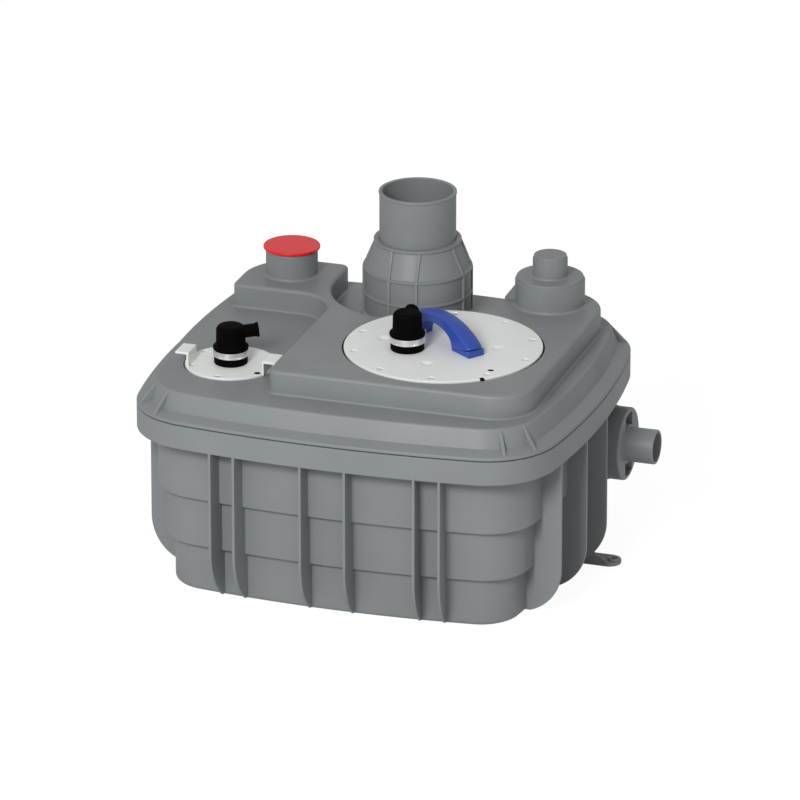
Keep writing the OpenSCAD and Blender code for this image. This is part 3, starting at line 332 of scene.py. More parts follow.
tankSizes = {"wallIn": 29, "step": 8, "sideStep": 12, "topTier": 145, "lowTier": 71, "band": 35, "wall": 5,
             "footRound": 7, "lip": 264.4, "finThick": 4, "finCurve": 80, "sideCurve": 70,
             "frontFins": (32.5, 132, 168),
             "rightFins": (-157, -63, 31), "leftFins": (-138, -44, 50), "leftIn": 7}


def tankShell():
    # outer wall up with its steps, round the rim band and down the inner wall; each lower tier is
    # narrower at the sides by the difference of the two steps
    t = tankSizes
    w, s, seam = t["wallIn"], t["step"], t["lip"]
    a, b, k = t["topTier"], t["lowTier"], t["wall"]
    corners = [(w + 2 * s + 20, 0, 0), (w + 2 * s, 0, t["footRound"]), (w + 2 * s, b, 0.8), (w + s, b, 1.8),
               (w + s, a, 0.8), (w, a, 1.8), (w, seam - k, 3), (k, seam - k, 2), (k, seam - t["band"], 1.5),
               (0, seam - t["band"], 1.8), (0, seam, 1.3), (w + k, seam, 1.5), (w + k, a + k, 3),
               (w + s + k, a + k, 3), (w + s + k, b + k, 3), (w + 2 * s + k, b + k, 3),
               (w + 2 * s + k, k, 8), (w + 2 * s + 25, k, 0)]
    path = roundedPath([c[:2] for c in corners], [c[2] for c in corners[1:-1]], 5)
    inner = np.arange(len(path)) > len(path) * 0.6
    z = path[:, 1]
    innerSteps = (z < b + k + 1.5) + 1.0 * (z < a + k + 1.5)
    outerSteps = (z < b + 0.5) + 1.0 * (z < a + 0.5)
    extra = (t["sideStep"] - s) * np.where(inner, innerSteps, outerSteps)
    rings = outlineRings(rimLine, path, extra)
    return [skin(rings), flatFace([rings[0]]), flatFace([rings[-1]])]


def finPlates():
    # a fin drops from the band, then curves in to the foot on an arc of radius
    # (height squared plus reach squared) over twice the reach; x runs inwards, z up
    t = tankSizes
    bite = t["wall"] / 2
    top = rim["seam"] - t["band"] + bite

    def shape(step, curve, inset=0):
        # one fin's outline; with an inset the drop starts that far in and the foot stays where it is
        near, reach = t["wallIn"] + step, t["wallIn"] + 2 * step
        radius = (curve ** 2 + reach ** 2) / (2 * reach)
        a = np.linspace(np.pi, np.pi + np.arcsin(curve / radius) * 0.93, 24)
        edge = np.stack([radius + radius * np.cos(a), curve + radius * np.sin(a)], 1)
        edge[:, 0] = np.maximum(edge[:, 0], inset + edge[:, 0] * (1 - inset / reach))
        return np.concatenate([[(inset + 0.4, top)], edge, [
            (reach + bite, edge[-1, 1]), (reach + bite, t["lowTier"] + bite),
            (near + bite, t["lowTier"] + bite),
            (near + bite, t["topTier"] + bite), (t["wallIn"] + bite, t["topTier"] + bite),
            (t["wallIn"] + bite, top)]])

    ends, sides = shape(t["step"], t["finCurve"]), shape(t["sideStep"], t["sideCurve"])
    lefts = shape(t["sideStep"], t["sideCurve"], t["leftIn"])
    spots = [(ends, sx, sy, frontCentre, frontR, np.arcsin(x / frontR) - np.pi / 2)
             for x in t["frontFins"] for sx in (-1, 1) for sy in (-1, 1)]
    spots += [(sides, 1, 1, sideCentre, sideR, np.arcsin(y / sideR)) for y in t["rightFins"]]
    spots += [(lefts, -1, 1, sideCentre, sideR, np.arcsin(y / sideR)) for y in t["leftFins"]]
    parts = []
    for outline, sx, sy, centre, radius, angle in spots:
        out = np.array([np.cos(angle) * sx, np.sin(angle) * sy, 0])
        foot = np.array([centre[0] * sx, centre[1] * sy, 0]) + out * radius
        parts += slab(outline, [], foot, -out, (0, 0, 1), t["finThick"])
    return parts


def lugPlates():
    # floor tongue with a round end, a collar around its bolt hole, and an upright triangle over its
    # front edge
    tongue = {"y": 52, "inner": 264.5, "tip": 334.9, "wide": 34, "thick": 5, "holeIn": 9.9, "hole": 9,
              "collar": 9, "collarHigh": 8, "gusset": 34}
    tip, inner = tongue["tip"], tongue["inner"]
    half = tongue["wide"] / 2
    a = np.radians(np.linspace(-90, 90, 25))
    end = np.stack([tip - half + half * np.cos(a), tongue["y"] + half * np.sin(a)], 1)
    shape = np.concatenate([[(inner, tongue["y"] - half)], end, [(inner, tongue["y"] + half)]])
    hole = circle(tip - tongue["holeIn"], tongue["y"], tongue["hole"] / 2, 32)
    rib = [(inner, 0), (tip - half, 0), (tip - half, 6), (inner + 5, tongue["gusset"]),
           (inner, tongue["gusset"])]
    holeR, ringR, ringTop = tongue["hole"] / 2, tongue["collar"], tongue["collarHigh"]
    ring = roundedPath([(holeR, 1), (ringR, 1), (ringR, ringTop), (holeR, ringTop), (holeR, 1)],
                       [0.3, 1.2, 1.2], 4)
    parts = []
    for side in (1, -1):
        parts += slab(shape, [hole], (0, 0, tongue["thick"] / 2), (side, 0, 0), (0, 1, 0), tongue["thick"])
        parts += slab(rib, [], (0, tongue["y"] - half + 2.6, 2), (side, 0, 0), (0, 0, 1), 4)
        parts.append(skin(turnedRings(ring, (side * (tip - tongue["holeIn"]), tongue["y"], 0), 32)))
    return parts


pipeSizes = {"y": 133, "z": 151}
lieRight = [(0, 0, 1), (1, 0, 0), (0, 1, 0)]  # turns a standing shape so that its axis points right


def padDisc():
    # the round boss that the flange bolts to
    low, high, radius = 262, 298, 53.5
    path = roundedPath([(0.01, low), (radius, low), (radius, high), (0.01, high)], [1, 1.2], 4)
    path[[0, -1], 0] = 0
    return [skin(turnedRings(path, (0, pipeSizes["y"], pipeSizes["z"]), 72, lieRight))]


makePiece("tank_shell", tankShell(), "station", "grey_polyethylene", ["tank"])
makePiece("tank_fins", finPlates(), "station", "grey_polyethylene", bevel=1.2)
makePiece("floor_lugs", lugPlates(), "station", "grey_polyethylene", bevel=1.0)
makePiece("discharge_pad", padDisc(), "station", "grey_polyethylene")
print("tank made")

deck = {"low": 303, "high": 338, "edge": 5, "foot": 3, "right": 268, "front": -208, "rear": 229,
        "left": -105, "cornerR": 60, "rearR": 76, "smallR": 12,
        "blockLeft": -266, "blockFront": 100, "blockR": 78,
        "fieldR": 60, "recess": (-4, 165, 126), "boss": (100, -45, 151), "joinR": 12}
pump = {"x": 100, "y": -45, "radius": 140, "gap": 2.4, "top": 340, "thick": 10, "seat": 328, "hole": 118}
sensor = {"x": -192, "y": -114, "radius": 65, "gap": 1.8, "top": 305, "thick": 10, "seat": 293, "hole": 46}
inlet = {"x": -6, "y": 164, "hole": 58}
vent = {"x": -198, "y": 168, "radius": 37.5, "top": 378, "foot": 4}
spare = {"x": 191, "y": 168, "radius": 50, "step": 380, "topRadius": 25, "top": 412, "foot": 4}


def deckOutline():
    # straight sides between arcs; the recess around the inlet opens to the rear, and the boss
    # under the big plate bulges into it; small arcs fill the two corners where they meet
    d = deck
    rx, ry, rr = d["recess"]
    bx, by, br = d["boss"]
    f = d["joinR"]
    between = np.array([bx - rx, by - ry])
    gap = np.linalg.norm(between)
    run = between / gap
    along = ((rr - f) ** 2 - (br + f) ** 2 + gap ** 2) / (2 * gap)
    across = np.sqrt((rr - f) ** 2 - along ** 2)
    side = np.array([-run[1], run[0]])
    joins = [np.array([rx, ry]) + along * run + s * across * side for s in (1, -1)]

    def angleTo(a, b):
        # the angle of b seen from a, in degrees
        return np.degrees(np.arctan2(b[1] - a[1], b[0] - a[0]))

    recess, boss = np.array([rx, ry]), np.array([bx, by])
    right, left = joins
    ra, la = angleTo(recess, right), angleTo(recess, left)
    rb, lb = angleTo(boss, right), angleTo(boss, left)
    k, c = d["smallR"], d["cornerR"]
    rows = [
        (d["left"] + k, d["front"] + k, k, 1, 180, 270, 8, 1),
        (d["right"] - c, d["front"] + c, c, 1, 270, 360, 20, 1),
        (d["right"] - d["rearR"], d["rear"] - d["rearR"], d["rearR"], 1, 0, 90, 20, 1),
        (rx + rr + k, d["rear"] - k, k, 1, 90, 180, 8, 1),
        (rx, ry, rr, -1, 0, ra, 24, 1),
        (*right, f, -1, ra, rb - 180, 10, 1),
        (bx, by, br, 1, rb, lb, 40, 1),
        (*left, f, -1, lb + 180, la + 360, 10, 1),
        (rx, ry, rr, -1, la, -180, 24, 1),
        (rx - rr - k, d["rear"] - k, k, 1, 0, 90, 8, 1),
        (d["blockLeft"] + d["blockR"], d["rear"] - d["blockR"], d["blockR"], 1, 90, 180, 24, 1),
        (d["blockLeft"] + k, d["blockFront"] + k, k, 1, 180, 270, 8, 1),
        (d["left"] - d["fieldR"], d["blockFront"] - d["fieldR"], d["fieldR"], -1, 90, 0, 20, 1),
    ]
    return arcs(rows)


def lidSkin():
    # rim lip, ledge, skirt and low deck in one profile; the raised deck stands in it with its own
    # profile; round seats go down for both plates, and the vent and the spare inlet stand up
    d = deck
    seam = rim["seam"]
    edge = roundedPath([(8, seam + 1.1), (0, seam + 1.1), (0, seam + 5.4), (18, seam + 12), (28, d["low"]),
                        (33, d["low"])], [0.8, 2.0, 3, 4], 6)
    rimRings = outlineRings(rimLine, edge)
    wall = roundedPath([(d["edge"] + 0.6, d["high"]), (0, d["high"]), (0, d["low"]),
                        (-d["foot"] - 0.6, d["low"])], [d["edge"], d["foot"]], 8)
    deckRings = outlineRings(deckOutline(), wall)

    def seat(p, z, depth):
        # a round step down to the plate's seat, then a hole down to the depth under the deck
        r = p["radius"] + p["gap"]
        path = roundedPath([(r + 1.2, z), (r, z), (r, p["seat"]), (p["hole"], p["seat"]),
                            (p["hole"], z - depth)], [0.7, 1.0, 1.0], 3)
        return turnedRings(path, (p["x"], p["y"], 0), 128)

    pumpSeat = seat(pump, d["high"], 20)
    sensorSeat = seat(sensor, d["low"], 20)
    inletHole = level(circle(inlet["x"], inlet["y"], inlet["hole"], 96), d["low"])
    ventPath = roundedPath([(vent["radius"] + vent["foot"] + 0.6, d["high"]), (vent["radius"], d["high"]),
                            (vent["radius"], vent["top"] - 4), (vent["radius"] - 1, vent["top"])],
                           [vent["foot"], 1], 6)
    ventRings = turnedRings(ventPath, (vent["x"], vent["y"], 0), 96)
    s = spare
    sparePath = roundedPath([(s["radius"] + s["foot"] + 0.6, d["high"]), (s["radius"], d["high"]),
                             (s["radius"], s["step"] - 5), (s["radius"] - 2, s["step"] - 4.5),
                             (s["radius"] - 2, s["step"]), (s["topRadius"], s["step"]),
                             (s["topRadius"], s["top"] - 5), (s["topRadius"] - 1.5, s["top"] - 4.6),
                             (s["topRadius"] - 1.5, s["top"]), (0.01, s["top"])],
                            [s["foot"], 0.6, 0.4, 1.2, 3, 0.5, 0.4, 1.2], 5)
    sparePath[-1, 0] = 0
    spareRings = turnedRings(sparePath, (s["x"], s["y"], 0), 96)
    top = flatFace([deckRings[0], pumpSeat[0], ventRings[0], spareRings[0]])
    low = flatFace([rimRings[-1], deckRings[-1], sensorSeat[0], inletHole])
    skins = [skin(r) for r in (rimRings, deckRings, pumpSeat, sensorSeat, ventRings, spareRings)]
    return skins + [top, low]


def lidGussets():
    # upright plates in pairs around each corner, from the ledge up the skirt
    g = {"angles": (-58.5, -31), "thick": 5, "foot": 270, "long": 16}
    run = 30
    shape = [(0, g["foot"] - 1), (12 + g["long"], g["foot"] - 1), (12 + g["long"], g["foot"] + 2),
             (2, deck["low"] - 1), (0, deck["low"] - 1)]
    parts = []
    for sx in (1, -1):
        for sy in (1, -1):
            for angle in np.radians(g["angles"]):
                out = np.array([np.cos(angle) * sx, np.sin(angle) * sy, 0])
                centre = np.array([cornerCentre[0] * sx, cornerCentre[1] * sy, 0])
                foot = centre + out * (rim["corner"] - run)
                parts += slab(shape, [], foot, out, (0, 0, 1), g["thick"])
    return parts


def spareRib():
    # upright triangle from the spare inlet down to the edge of the recess
    near, far, foot, high = 144, 124, deck["high"] - 1, 363
    shape = [(far, foot), (near, foot), (near, high), (near - 3, high), (far, foot + 3)]
    return slab(shape, [], (0, spare["y"], 0), (1, 0, 0), (0, 0, 1), 4)


makePiece("lid_skin", lidSkin(), "station", "grey_polyethylene", ["lid"], wall=4)
makePiece("lid_gussets", lidGussets() + spareRib(), "station", "grey_polyethylene", bevel=1.2)
print("lid made")

sleeve = {"radius": 76.5, "base": 303, "ring": 338, "shoulder": 374, "top": 417, "topRadius": 61,
          "bore": 55.4, "bead": 2.2, "beadHalf": 1.9, "pairs": (1, 91, 181, 271), "ribOff": 20.5,
          "ribHigh": 2.5, "ribWide": 4.5}


def sleeveShell():
    # a turned profile: foot ring, straight wall with two round beads, cone and neck
    s = sleeve
    r, z, h, w = s["radius"], s["base"], s["bead"], s["beadHalf"]
    path = roundedPath([(s["bore"], z), (r + 4, z), (r + 4, z + 4), (r, z + 6), (r, s["ring"] - w),
                        (r + h, s["ring"] - w), (r + h, s["ring"] + w), (r, s["ring"] + w),
                        (r, s["shoulder"] - w), (r + h, s["shoulder"] - w), (r + h, s["shoulder"] + w),
                        (r - 1, s["shoulder"] + w + 0.6), (s["topRadius"], s["top"] - 5),
                        (s["topRadius"] + 2, s["top"] - 4), (s["topRadius"] + 2, s["top"]),
                        (s["bore"], s["top"]), (s["bore"], z)],
                       [0.8, 1.2, 1.2, 0.2, 0.9, 0.9, 0.2, 0.2, 0.9, 0.9, 0.4, 0.5, 0.6, 1.2, 0.8], 4)
    return [skin(turnedRings(path, (inlet["x"], inlet["y"], 0), 128))]


def sleeveRibs():
    # parallel plates in pairs: each lies off the pair's own plane, so the wall meets it where the
    # radius squared less the offset squared has its root; they run up the wall and the cone
    s = sleeve
    parts = []
    for turn in np.radians(s["pairs"]):
        along = np.array([np.cos(turn), np.sin(turn), 0])
        aside = np.array([-np.sin(turn), np.cos(turn), 0])
        for off in (s["ribOff"], -s["ribOff"]):
            foot = np.sqrt(s["radius"] ** 2 - off ** 2)
            neck = np.sqrt(s["topRadius"] ** 2 - off ** 2)
            shape = [(foot - 3, s["base"] + 1), (foot + s["ribHigh"], s["base"] + 1),
                     (foot + s["ribHigh"], s["shoulder"]), (neck + s["ribHigh"] - 0.3, s["top"] - 4),
                     (neck - 3, s["top"] - 4), (foot - 3, s["shoulder"] - 2)]
            parts += slab(shape, [], np.array([inlet["x"], inlet["y"], 0]) + off * aside, along, (0, 0, 1),
                          s["ribWide"])
    return parts


pipe = {"radius": 55, "bore": 50.5, "base": 286, "seat": 411, "top": 488, "bead": 1}


def pipeShell():
    # a turned profile: thinner where it sits in the sleeve, and a small bead at its open top
    p = pipe
    path = roundedPath([(p["bore"], p["base"]), (p["radius"] - 1, p["base"]), (p["radius"] - 1, p["seat"]),
                        (p["radius"], p["seat"] + 1.5), (p["radius"], p["top"] - 4),
                        (p["radius"] + p["bead"], p["top"] - 3), (p["radius"] + p["bead"], p["top"]),
                        (p["bore"], p["top"]), (p["bore"], p["base"])],
                       [0.5, 0.3, 0.3, 0.4, 0.6, 1.2, 1.2], 4)
    return [skin(turnedRings(path, (inlet["x"], inlet["y"], 0), 128))]


cap = {"radius": 41, "top": 382, "under": 378.2, "plug": 32.6, "hollow": 30, "low": 364}


def capShell():
    # a flat disc with a rounded rim over a plug that drops into the vent
    c = cap
    path = roundedPath([(0.01, c["top"]), (c["radius"], c["top"]), (c["radius"], c["under"]),
                        (c["plug"] + 0.6, c["under"]), (c["plug"], c["low"]), (c["hollow"], c["low"]),
                        (c["hollow"], c["top"] - 3), (0.01, c["top"] - 3)], [1.4, 0.8, 0.3, 0.8, 0.8, 1], 4)
    path[[0, -1], 0] = 0
    return [skin(turnedRings(path, (vent["x"], vent["y"], 0), 96))]


makePiece("sleeve_shell", sleeveShell(), "station", "grey_polyethylene", ["inlet_sleeve"])
makePiece("sleeve_ribs", sleeveRibs(), "station", "grey_polyethylene", bevel=0.8)
makePiece("inlet_tube", pipeShell(), "station", "grey_polyethylene", ["inlet_pipe"])
makePiece("vent_disc", capShell(), "cap", "vent_red", ["vent_cap"])
print("inlet and vent made")

plateLooks = {"screws": 10, "screwRing": 127, "screwStart": -8, "cup": 4.9, "cupDeep": 3.9,
              "dimpleAt": (92.7, -36.9), "dimpleRing": 82, "dimpleTurn": 5, "dimple": 11, "dimpleDeep": 2.2,
              "edge": 1.2, "hole": (192, -115), "holeR": 4.6, "notch": -49.5,
              "smallScrews": 6, "smallRing": 57, "smallShadeDisc": (-142.6, -142.5), "smallShadeDiscR": 4.7}


def dish(x, y, z, radius, deep, count=40):
    # a shallow dish: depth is deep times (1 minus the squared share of the radius), squared
    share = np.linspace(1, 0, 12)
    path = np.stack([radius * share, z - deep * (1 - share ** 2) ** 2], 1)
    return skin(turnedRings(path, (x, y, 0), count))


def cup(x, y, z, radius, deep, count=32):
    # a round pocket with a softened rim and a flat floor, and the outline it leaves in the face
    path = roundedPath([(radius + 0.5, z), (radius, z), (radius, z - deep), (0.01, z - deep)],
                       [0.35, 0.4], 3)
    path[-1, 0] = 0
    return skin(turnedRings(path, (x, y, 0), count)), level(circle(x, y, radius + 0.5, count), z)


def pumpPlate():
    # a disc with rounded rims; its top is a flat face around pockets and dimples
    p, k = pump, plateLooks
    top, bottom = p["top"], p["top"] - p["thick"]
    path = roundedPath([(p["radius"] - k["edge"] - 0.6, top), (p["radius"], top), (p["radius"], bottom),
                        (0.01, bottom)], [k["edge"], 1.0], 5)
    path[-1, 0] = 0
    rings = turnedRings(path, (p["x"], p["y"], 0), 180)
    parts, holes = [skin(rings)], []
    a = np.radians(k["screwStart"] + 360 / k["screws"] * np.arange(k["screws"]))
    for x, y in np.stack([p["x"] + k["screwRing"] * np.cos(a), p["y"] + k["screwRing"] * np.sin(a)], 1):
        wall, hole = cup(x, y, top, k["cup"], k["cupDeep"])
        parts.append(wall)
        holes.append(hole)
    wall, hole = cup(*k["hole"], top, k["holeR"], 6)
    parts.append(wall)
    holes.append(hole)
    for angle in np.radians(90 * np.arange(4) + k["dimpleTurn"]):
        x = k["dimpleAt"][0] + k["dimpleRing"] * np.cos(angle)
        y = k["dimpleAt"][1] + k["dimpleRing"] * np.sin(angle)
        parts.append(dish(x, y, top, k["dimple"], k["dimpleDeep"]))
        holes.append(level(circle(x, y, k["dimple"], 40), top))
    return parts + [flatFace([rings[0], *holes])]


def shadeDisc(x, y, low, high, radius):
    # an upright black disc from low to high with softened rims, sunk in a pocket as painted shade so the
    # pocket reads as a deep dark hole
    path = roundedPath([(0.01, high), (radius, high), (radius, low), (0.01, low)], [0.3, 0.2], 3)
    path[[0, -1], 0] = 0
    return skin(turnedRings(path, (x, y, 0), 32))


def notchShadeBlock():
    # a small black block in the rim, at the notch's angle around the plate: painted shade where the notch
    # would be dark, since the plate itself is not cut
    angle = np.radians(plateLooks["notch"])
    out = (np.cos(angle), np.sin(angle), 0)
    near, far = pump["radius"] - 4.8, pump["radius"] + 1.4
    low, high = pump["top"] - 8, pump["top"] + 0.1
    shape = [(near, low), (far, low), (far, high), (near, high)]
    return slab(shape, [], (pump["x"], pump["y"], 0), out, (0, 0, 1), 6)


def sensorPlate():
    # the same disc, smaller, with its own ring of screw pockets at equal angles
    p, k = sensor, plateLooks
    top, bottom = p["top"], p["top"] - p["thick"]
    path = roundedPath([(p["radius"] - k["edge"] - 0.6, top), (p["radius"], top), (p["radius"], bottom),
                        (0.01, bottom)], [k["edge"], 1.0], 5)
    path[-1, 0] = 0
    rings = turnedRings(path, (p["x"], p["y"], 0), 128)
    parts, holes = [skin(rings)], []
    a = np.radians(360 / k["smallScrews"] * np.arange(k["smallScrews"]) - 90)
    for x, y in np.stack([p["x"] + k["smallRing"] * np.cos(a), p["y"] + k["smallRing"] * np.sin(a)], 1):
        wall, hole = cup(x, y, top, k["cup"], k["cupDeep"])
        parts.append(wall)
        holes.append(hole)
    return parts + [flatFace([rings[0], *holes])]


def sensorTabs():
    # an upright leg and a flange turned outwards, on each side of the small plate
    tab = {"x": -188.5, "leg": 54.5, "wide": 35, "high": 20.5, "out": 20, "thick": 3, "y": -131.5}
    z = sensor["top"]
    shape = [(tab["leg"], z - 1), (tab["leg"] + tab["thick"], z - 1),
             (tab["leg"] + tab["thick"], z + tab["high"] - tab["thick"]),
             (tab["leg"] + tab["out"], z + tab["high"] - tab["thick"]),
             (tab["leg"] + tab["out"], z + tab["high"]), (tab["leg"], z + tab["high"])]
    parts = []
    for side in (1, -1):
        parts += slab(shape, [], (tab["x"], tab["y"], 0), (side, 0, 0), (0, 0, 1), tab["wide"])
    return parts


makePiece("pump_cover", pumpPlate(), "pump_unit", "pale_plate", ["pump_plate", "bolt_plugs"])
makePiece("sensor_cover", sensorPlate(), "sensor_unit", "pale_plate", ["sensor_plate"])
makePiece("sensor_tabs", sensorTabs(), "sensor_unit", "pale_plate", bevel=1.0)
# black discs sunk in the big plate's hole and in one screw pocket of the small plate, with the black notch
# block: painted shade that darkens these shallow openings
pumpHoleShade = shadeDisc(*plateLooks["hole"], pump["top"] - 5.9, pump["top"] - 0.9, plateLooks["holeR"] - 0.1)
sensorPocketShade = shadeDisc(*plateLooks["smallShadeDisc"], sensor["top"] - 0.95, sensor["top"] - 0.3,
                        plateLooks["smallShadeDiscR"])
makePiece("pump_cover_hole_shade", [pumpHoleShade, *notchShadeBlock()], "pump_unit", "black_rubber")
makePiece("sensor_cover_pocket_shade", [sensorPocketShade], "sensor_unit", "black_rubber")
print("plates made")

grip = {"x": 92, "y": -26, "angle": -36, "half": 84, "high": 42, "wide": 28, "thick": 16, "foot": 47,
        "lift": 13, "rise": 2.1, "power": 6, "ridge": 0.12}


def handleArch():
    # a low arch of ribbon: the outside rises from its lift at the ends as 1 minus the cosine of the angle
    # to the given power, the inside as the sine; its section is a squashed circle whose top rises to a
    # ridge in the middle, and the ribbon narrows from the feet to the crown by the cosine of the angle
    g = grip
    t = np.linspace(0, np.pi, 65)
    rise = (g["high"] - g["lift"]) * (1 - np.abs(np.cos(t)) ** g["rise"])
    outer = np.stack([g["half"] * np.cos(t), g["lift"] + rise], 1)
    inner = np.stack([(g["half"] - g["foot"]) * np.cos(t), (g["high"] - g["thick"]) * np.sin(t) ** 0.8], 1)
    middle, reach = (outer + inner) / 2, (outer - inner) / 2
    a = np.linspace(0, 2 * np.pi, 56, endpoint=False)
    c, s = np.cos(a), np.sin(a)
    u = np.sign(c) * np.abs(c) ** (2 / g["power"])
    v = np.sign(s) * np.abs(s) ** (2 / g["power"])
    v = np.where(v > 0, v * (1 - 2 * g["ridge"] * np.abs(u)), v)
    run = middle[:, None, :] + reach[:, None, :] * v[None, :, None]
    side = g["wide"] / 2 * u[None, :] * (0.9 + 0.1 * np.abs(np.cos(t)))[:, None]
    angle = np.radians(g["angle"])
    x = g["x"] + run[..., 0] * np.cos(angle) - side * np.sin(angle)
    y = g["y"] + run[..., 0] * np.sin(angle) + side * np.cos(angle)
    z = pump["top"] + run[..., 1]
    return tube(np.stack([x, y, z], 2))


def handleFeet():
    # a wedge that fills each end of the ribbon down to the plate
    g = grip
    half, low = g["half"] - 2.5, pump["top"] + 0.05
    inner = half - g["foot"] + 6
    shape = [(inner, low), (half, low), (half, low + g["lift"] - 2.5), (inner, low + 2)]
    angle = np.radians(g["angle"])
    parts = []
    for side in (1, -1):
        along = (side * np.cos(angle), side * np.sin(angle), 0)
        parts += slab(shape, [], (g["x"], g["y"], 0), along, (0, 0, 1), g["wide"] - 1.2)
    return parts


makePiece("lift_handle", handleArch(), "pump_unit", "grip_blue", ["handle"], sharp=60)
makePiece("handle_feet", handleFeet(), "pump_unit", "grip_blue", bevel=1.5)
print("handle made")

boot = {"collar": 23.9, "clampLow": 11.5, "clampHigh": 20.5, "body": 21, "high": 56, "bore": 18.3,
        "spout": 9.4, "spoutTilt": 84, "nipple": 24, "slotsAt": 285}


def bootShell(x, y, z, angle, spoutLong):
    # collar, flared ring over the clamp, body with round shoulders, and a spout to one side
    b = boot
    path = roundedPath([(b["bore"], 0), (b["collar"], 0), (b["collar"], b["clampHigh"] + 0.6),
                        (b["collar"] + 1.4, b["clampHigh"] + 2), (b["collar"] + 1.4, b["clampHigh"] + 4.5),
                        (b["body"], b["clampHigh"] + 8), (b["body"] - 0.6, b["high"]), (0.01, b["high"]),
                        (0.01, b["high"] - 5), (b["bore"] - 2, b["high"] - 6), (b["bore"], b["nipple"] + 3),
                        (b["bore"], 0)],
                       [1.2, 0.5, 0.6, 0.9, 2.0, 7.0, 0.004, 0.004, 1.5, 2], 5)
    path[:, 0] = np.where(path[:, 0] < 0.05, 0, path[:, 0])
    body = turnedRings(path, (x, y, z), 72)
    spout = roundedPath([(0.01, 4), (b["spout"], 4), (b["spout"], spoutLong - 5),
                         (b["spout"] + 1.1, spoutLong - 4), (b["spout"] + 1.1, spoutLong),
                         (b["spout"] - 3.5, spoutLong), (b["spout"] - 3.5, spoutLong - 12),
                         (0.01, spoutLong - 12)], [0.5, 0.5, 0.5, 1.0, 0.8, 0.5], 4)
    spout[:, 0] = np.where(spout[:, 0] < 0.05, 0, spout[:, 0])
    lean = Matrix.Rotation(np.radians(angle), 3, "Z") @ Matrix.Rotation(np.radians(b["spoutTilt"]), 3, "Y")
    arm = turnedRings(spout, (x, y, z + b["high"] - b["spout"] - 3), 48, [list(r) for r in lean])
    return [skin(body), skin(arm)]


def clampBand(x, y, z):
    # a thin band; across its slotted stretch the outer face drops by 0.5 mm in even slots
    b = boot
    low, high, r = b["clampLow"], b["clampHigh"], b["collar"] + 0.15
    a = np.radians(np.arange(0, 360, 1.0))
    facing = (np.degrees(a) - b["slotsAt"] + 180) % 360 - 180
    slots = (np.abs(facing) < 38) * (np.sin(np.radians(facing) * 72) > 0.1) * 0.55
    rows = np.array([low, low + 0.3, low + 1.6, low + 2.1, high - 2.1, high - 1.6, high - 0.3, high])
    lift = np.array([0.75, 1.0, 1.0, 1.0, 1.0, 1.0, 1.0, 0.75])
    deep = np.array([0, 0, 0, 1, 1, 0, 0, 0])
    radius = r + lift[:, None] - deep[:, None] * slots[None, :]
    flat = 0 * radius
    outer = np.stack([radius * np.cos(a), radius * np.sin(a), rows[:, None] + flat], 2)
    inner = np.stack([r * np.cos(a) + flat, r * np.sin(a) + flat, rows[::-1, None] + flat], 2)
    rings = np.concatenate([outer, inner[[0, -1]], outer[:1]]) + (x, y, z)
    return [skin(rings)]


pumpBootAt = (56, -73, pump["top"] + 0.2)
sensorBootAt = (sensor["x"], sensor["y"], sensor["top"] + 0.2)
makePiece("pump_boot_rubber", bootShell(*pumpBootAt, 95, 29), "pump_unit", "black_rubber", ["pump_boot"])
makePiece("sensor_boot_rubber", bootShell(*sensorBootAt, 24, 40), "sensor_unit", "black_rubber",
          ["sensor_boot"])
makePiece("pump_band", clampBand(*pumpBootAt), "pump_unit", "stainless", ["pump_boot_clamp"], sharp=30)
makePiece("sensor_band", clampBand(*sensorBootAt), "sensor_unit", "stainless", ["sensor_boot_clamp"],
          sharp=30)
print("boots made")

flange = {"back": 298.3, "face": 321, "radius": 52.5, "stub": 25, "end": 363, "bore": 21, "pocketDeep": 13,
          "pocketFar": 46.5, "pocketNear": 28.5, "pocketHalf": 16.5}


def flangeShell():
    # a turned flange and stub; two kidney pockets open in the face, above and below the stub
    f = flange
    centre = (0, pipeSizes["y"], pipeSizes["z"])
    ringPath = roundedPath([(f["bore"], f["back"]), (f["radius"], f["back"]), (f["radius"], f["face"]),
                            (f["radius"] - 3.2, f["face"])], [0.8, 2.6], 6)
    stubPath = roundedPath([(f["stub"] + 1.6, f["face"]), (f["stub"], f["face"]), (f["stub"], f["end"]),
                            (f["bore"], f["end"]), (f["bore"], f["back"])], [1.0, 2.2, 1.2], 6)
    outer, stub = (turnedRings(path, centre, 96, lieRight) for path in (ringPath, stubPath))
    far, near, half = f["pocketFar"], f["pocketNear"], f["pocketHalf"]
    a = np.arcsin(half / far)
    b = np.arcsin(half / near)
    arcOut, arcIn = np.linspace(-a, a, 14), np.linspace(b, -b, 10)
    kidney = np.concatenate([np.stack([far * np.sin(arcOut), far * np.cos(arcOut)], 1),
                             np.stack([near * np.sin(arcIn), near * np.cos(arcIn)], 1)])
    parts, holes = [skin(outer), skin(stub)], []
    for side in (1, -1):
        y, z = pipeSizes["y"] + kidney[:, 0] * side, pipeSizes["z"] + kidney[:, 1] * side
        mouth = np.stack([np.full(len(y), f["face"]), y, z], 1)
        floor = mouth - (f["pocketDeep"], 0, 0)
        parts += [skin(np.stack([mouth, floor])), flatFace([floor])]
        holes.append(mouth)
    return parts + [flatFace([outer[-1], stub[0], *holes])]


makePiece("flange_shell", flangeShell(), "station", "grey_polyethylene", ["discharge_flange"])
print("discharge made")

studio = {"view": (18.2, 21.5), "target": (0, 0, 265), "shift": (20.1, -34.0), "away": 10.0,
          "frame": 1133.5, "sky": 0.44, "shine": 0.62, "paper": 0.85,
          "key": 90, "keyAt": (-0.05, -3.4, 2.4), "keyWide": 1.1}


